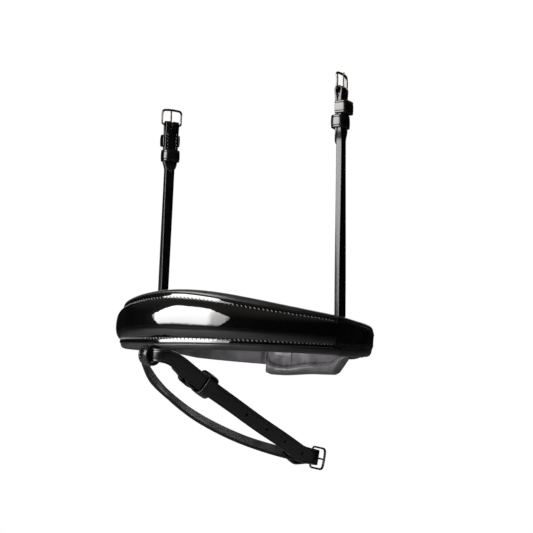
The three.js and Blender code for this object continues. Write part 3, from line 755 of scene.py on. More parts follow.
def near_rear_strap():
    taper = deg(5)
    taper_from = BILLET_TIP - taper
    tip = BILLET_TIP - taper * (1 - np.linspace(0, 1, 14)[1:-1])
    path = []
    for a in np.r_[np.linspace(REAR_START, taper_from, 180), tip]:
        point = tip_width(float(np.clip((a - taper_from) / taper, 0, 1)), least=0.02)
        lift = float(billet_lift(a) + near_bulge(a))
        path.append(ring_station(a, REAR_MID + lift, near_mid(a), 2 * near_half(a) * point, REAR_T))
    strap = sweep("near_jaw_strap", path, STRAP, ROOT)
    cutters = []
    tongue_hole = CLOSURE_ANGLE - deg(4.4)
    for i in (-1, 0, 1):
        a = tongue_hole + i * deg(11)
        centre = tilted(on_ring(a, REAR_MID + float(billet_lift(a)), REAR_DROP))
        cutters.append(rod(centre, tilted(on_ring(a, 1.0, 0.0)), 2.3 if i == 0 else 1.5, 9))
    cut_holes(strap, cutters)
    stands_for(strap, "bridle_leather", "near_rear_strap")
    sewn = np.linspace(REAR_START + deg(1.5), deg(150), 200)
    jaw_stitches("near_jaw", sewn, near_mid, near_half, lambda a: REAR_OUT - 0.1 + near_bulge(a))


def closure_frame(angle, radius, lean=0.0):
    """Axes at the rear closure: x out, y the strap's width, z back along the strap."""
    out = on_ring(angle, 1.0, 0.0)
    along = on_ring(angle - math.pi / 2, 1.0, 0.0)
    x = out * math.cos(lean) - along * math.sin(lean)
    z = along * math.cos(lean) + out * math.sin(lean)
    y = np.cross(z, x)
    centre = on_ring(angle, radius, REAR_DROP)
    return axes_matrix(tilted(x), tilted(y), tilted(z), tilted(centre))


FOLD_R = 2.75  # from a buckle bar to the middle of the leather folded round it
FOLD_T = 1.6
FOLD_BLEND = 9.0


def fold_blend(distance):
    """0 at a buckle bar and 1 where the strap has left the fold."""
    return float(smooth(distance, 0, FOLD_BLEND))


def fold_stations(axes, across, width, turns):
    """Stations round a buckle bar, which is the origin of the axes. Turn -90 degrees is the inside."""
    made = []
    for turn in turns:
        radial = axes[:3, 2] * math.cos(turn) + axes[:3, 0] * math.sin(turn)
        made.append((axes[:3, 3] + radial * FOLD_R, across, radial, width, FOLD_T))
    return made


def tongue_slot(axes, reach, radius=1.8, stretch=4):
    """A cutter for the slot in a fold that the buckle tongue turns in. Its middle is `reach` past the bar."""
    return rod(placed(axes, [0, 0, reach]), axes[:3, 0], radius, 14, 24, stretch=axes[:3, 2] * stretch)


def off_rear_strap():
    """Folded round the rear buckle's bar, with a short turned-back end on the inside."""
    hinge = closure_frame(CLOSURE_ANGLE, REAR_MID)
    tail, tail_t = 34, 1.6
    path = []
    for s in np.linspace(tail, 0.3, 26):
        a = CLOSURE_ANGLE + s / REAR_MID
        m = fold_blend(s)
        offset = lerp(-FOLD_R, -REAR_T / 2 - tail_t / 2 - 0.1, m)
        at, across, out, _, _ = ring_station(a, REAR_MID + offset, REAR_DROP, 0, 0)
        skive = lerp(0.35, 1, min(1, (tail - s) / 12))
        path.append((at, across, -out, 2 * REAR_HALF - 1.0, tail_t * skive))
    path += fold_stations(hinge, path[0][1], 2 * REAR_HALF - 0.6, np.linspace(-1, 1, 15) * math.pi / 2)
    for a in np.linspace(CLOSURE_ANGLE, 2 * math.pi - REAR_START, 90)[1:]:
        m = fold_blend((a - CLOSURE_ANGLE) * REAR_MID)
        offset = lerp(FOLD_R, 0, m)
        path.append(ring_station(a, REAR_MID + offset, off_mid(a), 2 * off_half(a), lerp(FOLD_T, REAR_T, m)))
    strap = sweep("off_jaw_strap", path, STRAP, ROOT)
    cut_holes(strap, [tongue_slot(hinge, 1.2, 1.9, 4.2)])
    stands_for(strap, "bridle_leather", "off_rear_strap")
    sewn = np.linspace(deg(262), 2 * math.pi - REAR_START - deg(1.5), 60)
    jaw_stitches("off_jaw", sewn, off_mid, off_half, lambda a: np.full(len(a), REAR_OUT - 0.1))


NEAR_LINING_END = deg(146)
OFF_LINING_START = deg(214.8)


def rear_linings():
    def near(a):
        low = lerp(-18.5, -12.2, float(smooth(a, deg(92), deg(140))))
        high = near_mid(a) + near_half(a) + lerp(3.2, 4.4, float(smooth(a, deg(100), deg(121))))
        end = float(smooth(a, NEAR_LINING_END, NEAR_LINING_END - deg(3)))
        strap_low, strap_high = near_mid(a) - near_half(a), near_mid(a) + near_half(a)
        outer = REAR_IN - GAP + float(near_bulge(a))
        inner = outer - LINING_T * lerp(0.55, 1, end)
        return padded_section(low, high, strap_low, strap_high, outer, outer + REAR_T - 0.4, inner, -0.6)

    def off(a):
        strap_low, strap_high = off_mid(a) - off_half(a), off_mid(a) + off_half(a)
        outer = REAR_MID - 3.9 - GAP
        start = float(smooth(a, OFF_LINING_START, OFF_LINING_START + deg(2)))
        inner = outer - (LINING_T - 2) * lerp(0.55, 1, start)
        roll = lerp(outer + 0.4, REAR_OUT - 0.7, float(smooth(a, deg(256), deg(264))))
        low = lerp(-20.3, -18.6, float(smooth(a, deg(250), deg(266))))
        return padded_section(low, strap_high + 2.8, strap_low, strap_high, outer, roll, inner, -0.5)

    angles = np.linspace(LINING_END + deg(0.3), NEAR_LINING_END, 70)
    one = loft("near_jaw_padding", band_rings(angles, near), [LINING], ROOT, sharp=60)
    stands_for(one, "lining_leather", "near_rear_lining")
    angles = np.linspace(OFF_LINING_START - deg(0.9), 2 * math.pi - LINING_END - deg(0.3), 60)
    # The off padding takes the lining painted lighter: painted light on its lit inner face.
    two = loft("off_jaw_padding", band_rings(angles, off), [LIGHTENED_LINING], ROOT, sharp=60)
    stands_for(two, "lining_leather", "off_rear_lining")


PAD_FROM = deg(161.2)
PAD_TO = deg(214)
PAD_SLANT = deg(7.6)
PAD_TOP = 8.0
PAD_T = 9.0
PAD_CORNER = 5.0
PAD_SPLIT = deg(199)  # an upright seam in its face


def pad_bottom(angle):
    return lerp(-26.7, -29.2, smooth(angle, deg(186), deg(206)))


def pad_seam(angle):
    """Height of the stitch line, which turns up at both ends."""
    near_end = 6.5 * np.clip((deg(175) - angle) / deg(9), 0, 1) ** 1.5
    off_end = 5.0 * np.clip((angle - deg(209)) / deg(5), 0, 1) ** 2
    return -16.9 - 4.2 * bell(angle, 203, 10) + near_end + off_end


def pad_start(h):
    """Angle of the near end, which slants below the lower 40 percent of the height."""
    return PAD_FROM + PAD_SLANT * np.maximum(0, 1 - h / 0.4)


def pad_edges(u, angle):
    """Heights of the lower and upper edge, which draw together at the rounded corners."""
    edge = np.sqrt(np.minimum(1, (np.minimum(u, 1 - u) * 70 + 3) / 8))
    corner = (1 - edge) * PAD_CORNER
    return pad_bottom(angle) + corner, PAD_TOP - corner


def pad_place(u, h, depth=None):
    """A point of the chin pad: along u, up h. Its depth inward is the padding's own unless it is given."""
    start = pad_start(h)
    angle = start + (PAD_TO - start) * u
    low, high = pad_edges(u, angle)
    z = lerp(low, high, h)
    if depth is None:
        depth = pad_depth(u, h, angle, z)
    return on_ring(angle, REAR_IN - GAP - depth, z)


def pad_depth(u, h, angle, z):
    """How far the pad stands in from its back: a fat roll below the stitch line and a flatter field above."""
    rim = np.clip(np.minimum(u, 1 - u) / 0.05, 0, 1)
    rim = np.sqrt(1 - (1 - rim) ** 2)
    seam = pad_seam(angle)
    below = np.clip((z - pad_bottom(angle)) / (seam - pad_bottom(angle)), 0, 1)
    roll = PAD_T * np.sqrt(np.clip(1 - (1.9 * below - 1) ** 2, 0, 1)) ** 0.7
    above = np.clip((z - seam) / (PAD_TOP - seam), 0, 1)
    field = PAD_T * (0.50 + 0.22 * np.sqrt(np.clip(above * 3.0, 0, 1))) * np.sqrt(np.clip(1 - above**8, 0, 1))
    shape = np.where(z < seam, np.maximum(roll, PAD_T * 0.50 * (below > 0.5)), field)
    stitch_pull = 1.1 * np.exp(-(((z - seam) / 0.7) ** 2))
    split = 0.8 * np.exp(-(((angle - PAD_SPLIT) / deg(0.35)) ** 2)) * (z > seam)
    near_seam = np.exp(-(((z - seam) / 2.6) ** 2))
    pucker = 0.28 * np.sin(angle * REAR_IN * 2 * math.pi / 6.2) * near_seam
    wave = 0.2 * np.sin(angle * 21 + 1.3) * np.sin(z * 0.31 + 0.6) + 0.08 * np.sin(angle * 47 + z * 0.4)
    return np.maximum(0.4, (shape - stitch_pull - split + pucker + wave) * rim + 2.0 * (1 - rim) * (h > 0.03))


def chin_pad():
    us, hs = np.linspace(0, 1, 150), np.linspace(0, 1, 80)
    u, h = np.meshgrid(us, hs, indexing="ij")
    front = tilted(pad_place(u, h))
    back = tilted(pad_place(u, h, np.zeros_like(u)))
    rows, cols = u.shape
    verts = np.concatenate([front.reshape(-1, 3), back.reshape(-1, 3)])
    n = rows * cols
    faces = []
    for i in range(rows - 1):
        for j in range(cols - 1):
            a, b, c, d = i * cols + j, (i + 1) * cols + j, (i + 1) * cols + j + 1, i * cols + j + 1
            faces.append((a, b, c, d))
            faces.append((n + d, n + c, n + b, n + a))
    rim = [i * cols for i in range(rows)]
    rim += [(rows - 1) * cols + j for j in range(1, cols)]
    rim += [i * cols + cols - 1 for i in reversed(range(rows - 1))]
    rim += list(reversed(range(1, cols - 1)))
    for k, a in enumerate(rim):
        b = rim[(k + 1) % len(rim)]
        faces.append((a, b, n + b, n + a))
    # The pad takes the lining painted lighter: painted light on its lit face.
    pad = new_piece("jaw_pad", verts, faces, [LIGHTENED_LINING], "chin_pad", sharp=60)
    stands_for(pad, "lining_leather", "chin_pad")

    angle = np.linspace(deg(167), deg(212.3), 240)
    seam = pad_seam(angle)
    u, h = pad_seam_uv(angle, seam)
    line = tilted(pad_place(u, h))
    inward = -tilted(on_ring(angle, 1.0, 0.0))
    row = sewn_rows(
        "jaw_pad_stitches", [(line, inward)], TURNED_PITCH, GREY_THREAD, "chin_pad",
        length=2.1, radius=0.34, inset=0.5,
    )
    stands_for(row, "lining_leather")


def pad_seam_uv(angle, z):
    """The pad's own coordinates of places given by angle and height."""
    u, h = np.full_like(angle, 0.5), np.full_like(angle, 0.3)
    for _ in range(30):
        start = pad_start(h)
        u = np.clip((angle - start) / (PAD_TO - start), 0, 1)
        low, high = pad_edges(u, angle)
        h = (z - low) / (high - low)
    return u, h


# ---------------------------------------------------------------- keepers and loops


def rounded_path(corners, radius, closed, steps=7):
    """Points along straight lines with rounded corners, in a plane."""
    corners = [np.array(c, float) for c in corners]
    points = []
    count = len(corners)
    for i, c in enumerate(corners):
        if not closed and i in (0, count - 1):
            points.append(c)
            continue
        before, after = corners[i - 1], corners[(i + 1) % count]
        r = min(radius, 0.45 * np.linalg.norm(before - c), 0.45 * np.linalg.norm(after - c))
        a, b = c + unit(before - c) * r, c + unit(after - c) * r
        for t in np.linspace(0, 1, steps):
            points.append(a * (1 - t) ** 2 + 2 * c * t * (1 - t) + b * t * t)
    return np.array(points)


def with_midpoints(points, closed, longest=2.5):
    """Adds points so that no step is long."""
    made = []
    count = len(points)
    for i in range(count if closed else count - 1):
        a, b = points[i], points[(i + 1) % count]
        steps = max(1, int(np.linalg.norm(b - a) / longest))
        made += [lerp(a, b, t) for t in np.arange(steps) / steps]
    return np.array(made if closed else made + [points[-1]])


def leather_band(name, node, outline, matrix, height, thick, body, closed):
    """A keeper: leather of a given height bent along an outline in the local x, y plane."""
    points = with_midpoints(outline, closed)
    x, y, z = matrix[:3, :3].T
    path = []
    for place, out in zip(points, plane_normals(points, closed)):
        path.append((placed(matrix, [*place, 0]), z, x * out[0] + y * out[1], height, thick))
    band = sweep(name, path, POLISHED, body, closed_path=closed, crown=0.3, edge=0.5)
    stands_for(band, "bridle_leather", node)


def runner_outline(x_min, x_max, half, thick):
    t = thick / 2
    low, high = x_min + t, x_max - t
    side = half - t
    return rounded_path([(low, -side), (high, -side), (high, side), (low, side)], 5.2, True, 11)


def arch_outline(half, foot, height, thick):
    top, side = height + thick / 2, half + thick / 2
    return rounded_path([(foot, -side), (top, -side), (top, side), (foot, side)], 3.6, False, 9)


KEEPER_T = 1.5


def jaw_keepers():
    height = 9
    reach = BILLET_LIFT + REAR_T / 2 + GAP
    outline = arch_outline(REAR_HALF + GAP, -REAR_T / 2, reach + 1.2, KEEPER_T)
    place = closure_frame(deg(237.5), REAR_MID)
    leather_band("jaw_fixed_keeper", "rear_fixed_keeper", outline, place, height, KEEPER_T, ROOT, False)
    wall = 1.3
    outline = runner_outline(-REAR_T / 2 - 0.5 - wall, reach + 1.4 + wall, REAR_HALF + 0.6 + wall, wall)
    place = closure_frame(deg(245), REAR_MID)
    leather_band("jaw_runner", "rear_runner_keeper", outline, place, height, wall, "rear_runner", True)
    outline = arch_outline(REAR_HALF + 0.6, -REAR_T / 2 - GAP, REAR_T / 2 + 0.7, KEEPER_T)
    for side, angle in (("near", 172), ("off", 205)):
        place = closure_frame(deg(angle), REAR_MID)
        name, node = f"{side}_pad_loop", f"chin_pad_{side}_loop"
        leather_band(name, node, outline, place, height, KEEPER_T, "chin_pad", False)


# ---------------------------------------------------------------- buckles


def circle_section(half_w, half_t, sides=14):
    turn = np.linspace(0, 2 * math.pi, sides, endpoint=False)
    return np.stack([half_w * np.cos(turn), half_t * np.sin(turn)], -1)


def buckle_frame(name, matrix, width, length, body, node):
    """A rounded wire frame round its hinge bar on y, with a slightly arched front bar."""
    half = width / 2 - WIRE / 2
    arch = 0.8
    top = length - WIRE - arch
    corners = [(-half, 0), (half, 0), (half, top), (-half, top)]
    flat = with_midpoints(rounded_path(corners, 2.6, True, 9), True, 1.2)
    rise = arch * (1 - (flat[:, 0] / half) ** 2) * (flat[:, 1] > top - 3)
    x_axis, y_axis, z_axis = matrix[:3, :3].T
    path = []
    for (y, z), lift, out in zip(flat, rise, plane_normals(flat, True)):
        z += lift
        heavy = 1 + 0.22 * float(smooth(z, top - 4, top))
        bow = 0.5 * math.sin(math.pi * min(1, z / top))
        side = y_axis * out[0] + z_axis * out[1]
        path.append((placed(matrix, [bow, y, z]), side, x_axis, 1.75 * heavy, 1.9 * heavy))
    made = sweep(name, path, [NICKEL], body, closed_path=True, section=circle_section)
    stands_for(made, "nickel", node)


def buckle_tongue(name, matrix, length, body, node):
    """Wire bent round the bar, its shank tapering to a blunt tip on the outside of the front bar."""
    loop_r, loop_points = 2.15, 30
    tip = np.array([2.1, length - 1.6])
    spine = [(loop_r * math.cos(q), loop_r * math.sin(q)) for q in np.linspace(-deg(300), 0, loop_points)]
    root = np.array(spine[-1])
    for t in np.linspace(0, 1, 22)[1:]:
        p = lerp(root, tip, t)
        spine.append((p[0] - 0.35 * math.sin(math.pi * t), p[1]))
    spine = np.array(spine)
    x_axis, y_axis, z_axis = matrix[:3, :3].T
    path = []
    for i, ((x, z), normal) in enumerate(zip(spine, plane_normals(spine, False))):
        taper = lerp(1, 0.72, max(0.0, (i - loop_points) / (len(spine) - loop_points)))
        out = x_axis * normal[0] + z_axis * normal[1]
        path.append((placed(matrix, [x, 0, z]), y_axis, out, 2.0 * taper, 1.5 * taper))
    made = sweep(name, path, [NICKEL], body, section=circle_section)
    stands_for(made, "nickel", node)


BUCKLE_W = 21.0
BUCKLE_L = 16.0


def jaw_buckle():
    matrix = closure_frame(CLOSURE_ANGLE, REAR_MID, CLOSURE_LEAN)
    length = 19.0
    buckle_frame("jaw_buckle_frame", matrix, BUCKLE_W, length, ROOT, "rear_buckle_frame")
    buckle_tongue("jaw_buckle_tongue", matrix, length, ROOT, "rear_buckle_tongue")


# ---------------------------------------------------------------- cheek straps

BAR_Z = 182.0
TAB_Z = 149.0
NECK_Z = 140.0
STEM_W = 8.6
STEM_T = 5.2
TAB_T = 3.4
TAIL_T = 2.2
TAB_OUT = (TAB_T + GAP + TAIL_T) / 2
TAIL_END = 139.0
KEEPER_H = 10.5
FIXED_KEEPER_Z = BAR_Z - 14.6
RUNNER_Z = BAR_Z - 26.2
RUNNER_WALL = 1.6
RUNNER_DROP = {"near": 0, "off": 2.6}  # the off runner has slipped down a little


def joint_axis(name):
    return unit(np.array(joints[name]["axis"], float))


def joint_place(name):
    """A joint's place from the middle of the ring, in millimetres."""
    return np.array(joints[name]["pos_m"], float) / MM - RING_CENTRE


def cheek_axes(side):
    """The strap's own axes before it twists (x out, y back, z up), and how far it twists."""
    mirror = 1 if side == "near" else -1
    base = joint_place(f"{side}_cheek_fold")
    z = joint_axis(f"{side}_cheek_runner_slide")
    y = joint_axis(f"{side}_cheek_fold") * mirror
    x = np.cross(y, z) * mirror
    twist = math.acos(float(np.clip(y @ joint_axis(f"{side}_cheek_buckle_swing") * mirror, -1, 1)))
    return axes_matrix(x, y, z, base), twist


def turned(matrix, twist, height=0.0):
    """Strap axes turned about their own z and moved up it."""
    c, s = math.cos(twist), math.sin(twist)
    turn = np.array([[c, -s, 0, 0], [s, c, 0, 0], [0, 0, 1, height], [0, 0, 0, 1]])
    return matrix @ turn


def cheek_path(shorter):
    """The folded strap in its own x, z plane, from its foot over the buckle bar to its tail.

    Each place is (x, z, normal x, normal z, width, thickness, z before shortening).
    """
    path = []
    main_x = TAB_OUT - TAB_T / 2
    tail_x = -TAB_OUT + TAIL_T / 2
    for z in np.r_[np.linspace(-9, 6, 16), np.linspace(8, BAR_Z - 0.2, 110)]:
        tab = float(smooth(z, NECK_Z, TAB_Z))
        root = float(smooth(z, -1.5, -6))
        near_bar = fold_blend(BAR_Z - z)
        x = lerp(FOLD_R, lerp(0, main_x, tab), near_bar) - 2.9 * root
        thick = lerp(FOLD_T, lerp(STEM_T, TAB_T, tab), near_bar) * lerp(1, 0.26, root)
        path.append((x, z, 1.0, 0.0, lerp(STEM_W, STRAP_W, tab), thick))
    for q in np.linspace(0, math.pi, 17)[1:-1]:
        c, s = math.cos(q), math.sin(q)
        path.append((FOLD_R * c, BAR_Z + FOLD_R * s, c, s, STRAP_W, FOLD_T))
    for z in np.linspace(BAR_Z - 0.2, TAIL_END, 46):
        near_bar = fold_blend(BAR_Z - z)
        reach = max(0.0, (TAIL_END + 12 - z) / 12)
        lift = 2.6 * reach**2
        skive = lerp(1, 0.55, reach)
        point = tip_width(reach, 2.4, 0.03)
        x = lerp(-FOLD_R, tail_x, near_bar) - lift
        path.append((x, z, -1.0, 0.0, STRAP_W * point, lerp(FOLD_T, TAIL_T, near_bar) * skive))
    drop = [shorter * min(1, max(0, (p[1] - 10) / (NECK_Z - 20))) for p in path]
    return [(x, z - d, nx, nz, width, thick, z) for (x, z, nx, nz, width, thick), d in zip(path, drop)]


def cheek_stitches(side, axes, shorter):
    """Rows along both edges of the doubled leather, on both faces."""
    out = axes[:3, 0]
    z = np.linspace(BAR_Z - 9, TAB_Z + 2, 40) - shorter
    lines = []
    for y in (-STRAP_W / 2 + 2.2, STRAP_W / 2 - 2.2):
        for face in (1, -1):
            x = face * (TAB_OUT - 0.05)
            points = placed(axes, np.stack([np.full(len(z), x), np.full(len(z), y), z], -1))
            lines.append((points, np.tile(out * face, (len(z), 1))))
    rows = sewn_rows(
        f"{side}_strap_stitches", lines, TURNED_PITCH, GREY_THREAD, f"{side}_cheek",
        length=2.2, radius=0.3, slant=0.25,
    )
    stands_for(rows, "bridle_leather")


def cheek_keepers(side, axes, twist, shorter):
    body = f"{side}_cheek"
    outline = arch_outline(STRAP_W / 2 + GAP, -TAB_OUT + 1, TAB_OUT + 4, KEEPER_T)
    place = turned(axes, twist, FIXED_KEEPER_Z - shorter)
    name = f"{side}_fixed_keeper"
    leather_band(name, f"{body}_fixed_keeper", outline, place, KEEPER_H, KEEPER_T, body, False)
    outline = runner_outline(-7.3, 5.9, 8.5, RUNNER_WALL)
    place = turned(axes, twist, RUNNER_Z - shorter - RUNNER_DROP[side])
    name = f"{side}_runner"
    leather_band(name, f"{body}_runner_keeper", outline, place, KEEPER_H, RUNNER_WALL, f"{body}_runner", True)


def cheek_strap(side):
    axes, twist = cheek_axes(side)
    body = f"{side}_cheek"
    shorter = BAR_Z - float((joint_place(f"{side}_cheek_buckle_swing") - axes[:3, 3]) @ axes[:3, 2])
    stations = []
    for x, z, nx, nz, width, thick, place in cheek_path(shorter):
        t = turned(axes, twist * float(smooth(place, 10, NECK_Z)), z)
        at = placed(t, [x, 0, 0])
        stations.append((at, t[:3, 1], unit(t[:3, 0] * nx + t[:3, 2] * nz), width, thick))
    strap = sweep(f"{side}_strap", stations, POLISHED)
    top = turned(axes, twist, BAR_Z - shorter)
    cut_holes(strap, [tongue_slot(top, 1.5)])
    stands_for(strap, "bridle_leather", f"{side}_cheek_strap", f"{side}_cheek_foot")
    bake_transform(strap)
    cheek_stitches(side, turned(axes, twist), shorter)
    cheek_keepers(side, axes, twist, shorter)
    name = f"{side}_buckle"
    buckle_frame(f"{name}_frame", top, BUCKLE_W, BUCKLE_L, f"{body}_buckle", f"{body}_buckle_frame")
    buckle_tongue(f"{name}_tongue", top, BUCKLE_L, f"{body}_tongue", f"{body}_buckle_tongue")


# ---------------------------------------------------------------- flash loop and straps

FLASH_W = 13.5
FLASH_T = 2.6
FLASH_TAIL_T = 2.0
FOLD_OFFSET = (FLASH_TAIL_T + GAP) / 2
UNDER = 3.4
WRAP = 5.3

LOOP_CENTRE = joint_place("flash_swing")
CHIN_BAR = np.array([-1.8, 87.3, -109.2])
CHIN_REACH = np.array([0.254, 0.945, -0.203])
CHIN_OUT = np.array([-0.951, 0.245, -0.05])
FRONT_BAR = joint_place("flash_buckle_swing")
FRONT_REACH = np.array([-0.02, -0.73, 0.68])
FRONT_OUT = np.array([0.82, 0.38, 0.43])
NEAR_FACE = np.array([0.93, -0.1, -0.35])
OFF_FACE = np.array([-0.69, -0.26, -0.67])


def buckle_axes(bar, reach, out):
    z = unit(reach)
    x = unit(out - z * (out @ z))
    return axes_matrix(x, np.cross(z, x), z, bar)


CHIN_AXES = buckle_axes(CHIN_BAR, CHIN_REACH, CHIN_OUT)
FRONT_AXES = buckle_axes(FRONT_BAR, FRONT_REACH, FRONT_OUT)


def station(at, out, width=FLASH_W, thick=FLASH_T):
    return np.array(at, float), np.array(out, float), width, thick


class Strip:
    """A strap's middle along a centripetal Catmull-Rom curve through its stations."""

    def __init__(self, stations):
        self.stations = stations
        self.points = [s[0] for s in stations]

    def locate(self, t):
        """The stretch between two stations that t falls in, and how far along it."""
        place = min(max(t, 0.0), 0.99999) * (len(self.points) - 1)
        return int(place), place - int(place)

    def point(self, t):
        i, f = self.locate(t)
        p = self.points
        p1, p2 = p[i], p[i + 1]
        p0 = p[i - 1] if i > 0 else 2 * p1 - p2
        p3 = p[i + 2] if i + 2 < len(p) else 2 * p2 - p1
        d0, d1, d2 = (math.sqrt(max(1e-8, np.linalg.norm(b - a))) for a, b in ((p0, p1), (p1, p2), (p2, p3)))
        t1 = ((p1 - p0) / d0 - (p2 - p0) / (d0 + d1) + (p2 - p1) / d1) * d1
        t2 = ((p2 - p1) / d1 - (p3 - p1) / (d1 + d2) + (p3 - p2) / d2) * d1
        return p1 + t1 * f + (3 * (p2 - p1) - 2 * t1 - t2) * f * f + (2 * (p1 - p2) + t1 + t2) * f**3

    def at(self, t):
        """(at, along, across, out, width, thick) at t, from 0 to 1 by stations."""
        along = unit(self.point(t + 1e-4) - self.point(t - 1e-4))
        i, f = self.locate(t)
        a, b = self.stations[i], self.stations[i + 1]
        across = unit(np.cross(lerp(a[1], b[1], f), along))
        out = np.cross(along, across)
        return self.point(t), along, across, out, lerp(a[2], b[2], f), lerp(a[3], b[3], f)


long_strip = Strip([
    station(CHIN_BAR + CHIN_OUT * FOLD_OFFSET, CHIN_OUT),
    station((-5, 78, -108.2), lerp(CHIN_OUT, OFF_FACE, 0.5)),
    station((-9, 67.9, -106.8), OFF_FACE),
    station((-15, 39.6, -100), OFF_FACE),
    station((-22, 16.7, -92.4), OFF_FACE),
    station((-27, -8.8, -82.1), OFF_FACE),
    station((-30, -34.3, -69.8), OFF_FACE),
    station((-29, -62, -53.6), OFF_FACE),
    station((-25, -82.8, -39.5), (-0.85, -0.3, -0.45)),
    station((-20, -94.5, -29.5), (-0.8, -0.5, -0.3), 12.5),
    station((-11, -105, -22.5), (-0.5, -0.86, -0.1), 11, 3.6),
    station((-2, -110.2, -21.5), (0, -1, 0), 10.4, 4.2),
    station((5, -110.5, -21.5), (0, -1, 0), 10.4, 4.2),
    station((12, -109.8, -21.5), (0.1, -1, 0), 10.4, 4.2),
    station((18.5, -102.5, -22.8), (0.75, -0.6, -0.1), 11.5, 3.4),
    station((19.5, -92, -27.5), (0.92, -0.3, -0.25), 12.5, 2.8),
    station((18, -77.6, -35.6), NEAR_FACE),
    station((15.5, -51.8, -48.9), NEAR_FACE),
    station((15, -24.5, -63), NEAR_FACE),
    station((14, 5.1, -78.1), NEAR_FACE),
    station((11.5, 37.9, -93.1), NEAR_FACE),
    station((9, 64.8, -105.7), NEAR_FACE),
    station((8, 76.5, -110.2), (0.95, -0.17, -0.15)),
])


def under(x, y, z, by=UNDER):
    return np.array([x, y, z]) - NEAR_FACE * by


def wrapped(turn):
    out = CHIN_REACH * math.cos(turn) + CHIN_OUT * math.sin(turn)
    return station(CHIN_BAR + out * WRAP, out)


chin_strip = Strip([
    station(FRONT_BAR + FRONT_OUT * FOLD_OFFSET, FRONT_OUT),
    station((10.2, -70.5, -39.8), (0.9, 0.15, 0.05)),
    station((12, -61, -43.6), (0.93, -0.1, -0.3)),
    station(under(15.5, -51.8, -49.4), NEAR_FACE),
    station(under(15, -24.5, -63), NEAR_FACE),
    station(under(14, 5.1, -78.1), NEAR_FACE),
    station(under(11.5, 37.9, -93.1), NEAR_FACE),
    station(under(9, 64.8, -105.7, UNDER + 0.6), NEAR_FACE),
    *[wrapped(deg(turn)) for turn in (-95, -50, 0, 50, 95)],
    station((-11.5, 76, -110), lerp(CHIN_OUT, OFF_FACE, 0.5)),
    station((-12.3, 66.5, -110), OFF_FACE),
])


def strip_path(strip, ts, axes, tail_to, tip_length):
    """A strap folded round a buckle bar: its turned-back end, the fold, and the run with a pointed tip."""
    inward = -FLASH_T / 2 - GAP - FLASH_TAIL_T / 2
    start = strip.point(0)
    path = []
    tail_end = strip.point(tail_to)
    for t in np.linspace(tail_to, 0.002, 40):
        at, _, across, out, width, _ = strip.at(t)
        m = fold_blend(np.linalg.norm(at - start))
        offset = lerp(-FOLD_R - FOLD_OFFSET, inward, m)
        reach = min(1.0, np.linalg.norm(at - tail_end) / 12)
        point = tip_width(1 - min(1, reach * 1.8))
        path.append((at + out * offset, across, -out, width * point, FLASH_TAIL_T * lerp(0.5, 1, reach)))
    _, _, across, _, width, _ = strip.at(0)
    path += fold_stations(axes, across, width, np.linspace(-1, 1, 17)[1:-1] * math.pi / 2)
    tip = strip.point(1)
    for t in ts:
        at, _, across, out, width, thick = strip.at(t)
        m = fold_blend(np.linalg.norm(at - start)) if t < 0.3 else 1.0
        reach = np.linalg.norm(at - tip) / tip_length if t > 0.8 else 1.0
        at = at + out * lerp(FOLD_R - FOLD_OFFSET, 0, m)
        path.append((at, across, out, width * tip_width(1 - min(1.0, reach)), lerp(FOLD_T, thick, m)))
    return path


FLASH_HOLES = (0.8373, 0.875, 0.909, 0.9486)  # places along the long strap, from 0 to 1 by stations
FLASH_RUNNER_AT = 0.7627


def flash_straps():
    ts = np.r_[np.linspace(0.002, 0.98, 260), np.linspace(0.98, 1, 16)[1:]]
    strap = sweep("flash_strap", strip_path(long_strip, ts, CHIN_AXES, 0.105, 12), POLISHED, "flash")
    cutters = [tongue_slot(CHIN_AXES, 1.4)]
    for t in FLASH_HOLES:
        at, _, _, out, _, _ = long_strip.at(t)
        cutters.append(rod(at, out, 1.3, 8))
    cut_holes(strap, cutters)
    stands_for(strap, "bridle_leather", "flash_long_strap")

    ts = np.r_[np.linspace(0.002, 0.96, 170), np.linspace(0.96, 1, 14)[1:]]
    chin = sweep("chin_strap", strip_path(chin_strip, ts, FRONT_AXES, 0.21, 9), POLISHED, "flash")
    tongue_hole = rod(placed(CHIN_AXES, [3, 0, 6]), CHIN_AXES[:3, 0], 1.6, 6, 20)
    cut_holes(chin, [tongue_slot(FRONT_AXES, 1.4), tongue_hole])
    stands_for(chin, "bridle_leather", "flash_chin_strap")

    flash_stitches()
    flash_keeper()
    for name, axes, frame_body, tongue_body in (
        ("chin", CHIN_AXES, "flash", "flash"),
        ("front", FRONT_AXES, "flash_buckle", "flash_tongue"),
    ):
        node = f"flash_{name}_buckle"
        buckle_frame(f"{name}_buckle_frame", axes, BUCKLE_W, BUCKLE_L, frame_body, f"{node}_frame")
        buckle_tongue(f"{name}_buckle_tongue", axes, BUCKLE_L, tongue_body, f"{node}_tongue")


def flash_stitches():
    """The turned-back ends are sewn along both edges."""
    lines = []
    for strap, first, last in ((long_strip, 0.03, 0.1), (chin_strip, 0.06, 0.2)):
        for side in (-1, 1):
            for face, depth in ((1, FLASH_T / 2 - 0.1), (-1, FLASH_T / 2 + GAP + FLASH_TAIL_T - 0.05)):
                points, outs = [], []
                for t in np.linspace(first, last, 60):
                    at, _, across, out, width, _ = strap.at(t)
                    points.append(at + across * side * (width / 2 - 2.1) + out * face * depth)
                    outs.append(out * face)
                lines.append((np.array(points), np.array(outs)))
    rows = sewn_rows(
        "flash_stitches", lines, TURNED_PITCH, GREY_THREAD, "flash", length=2.2, radius=0.32, slant=0.2
    )
    stands_for(rows, "bridle_leather")


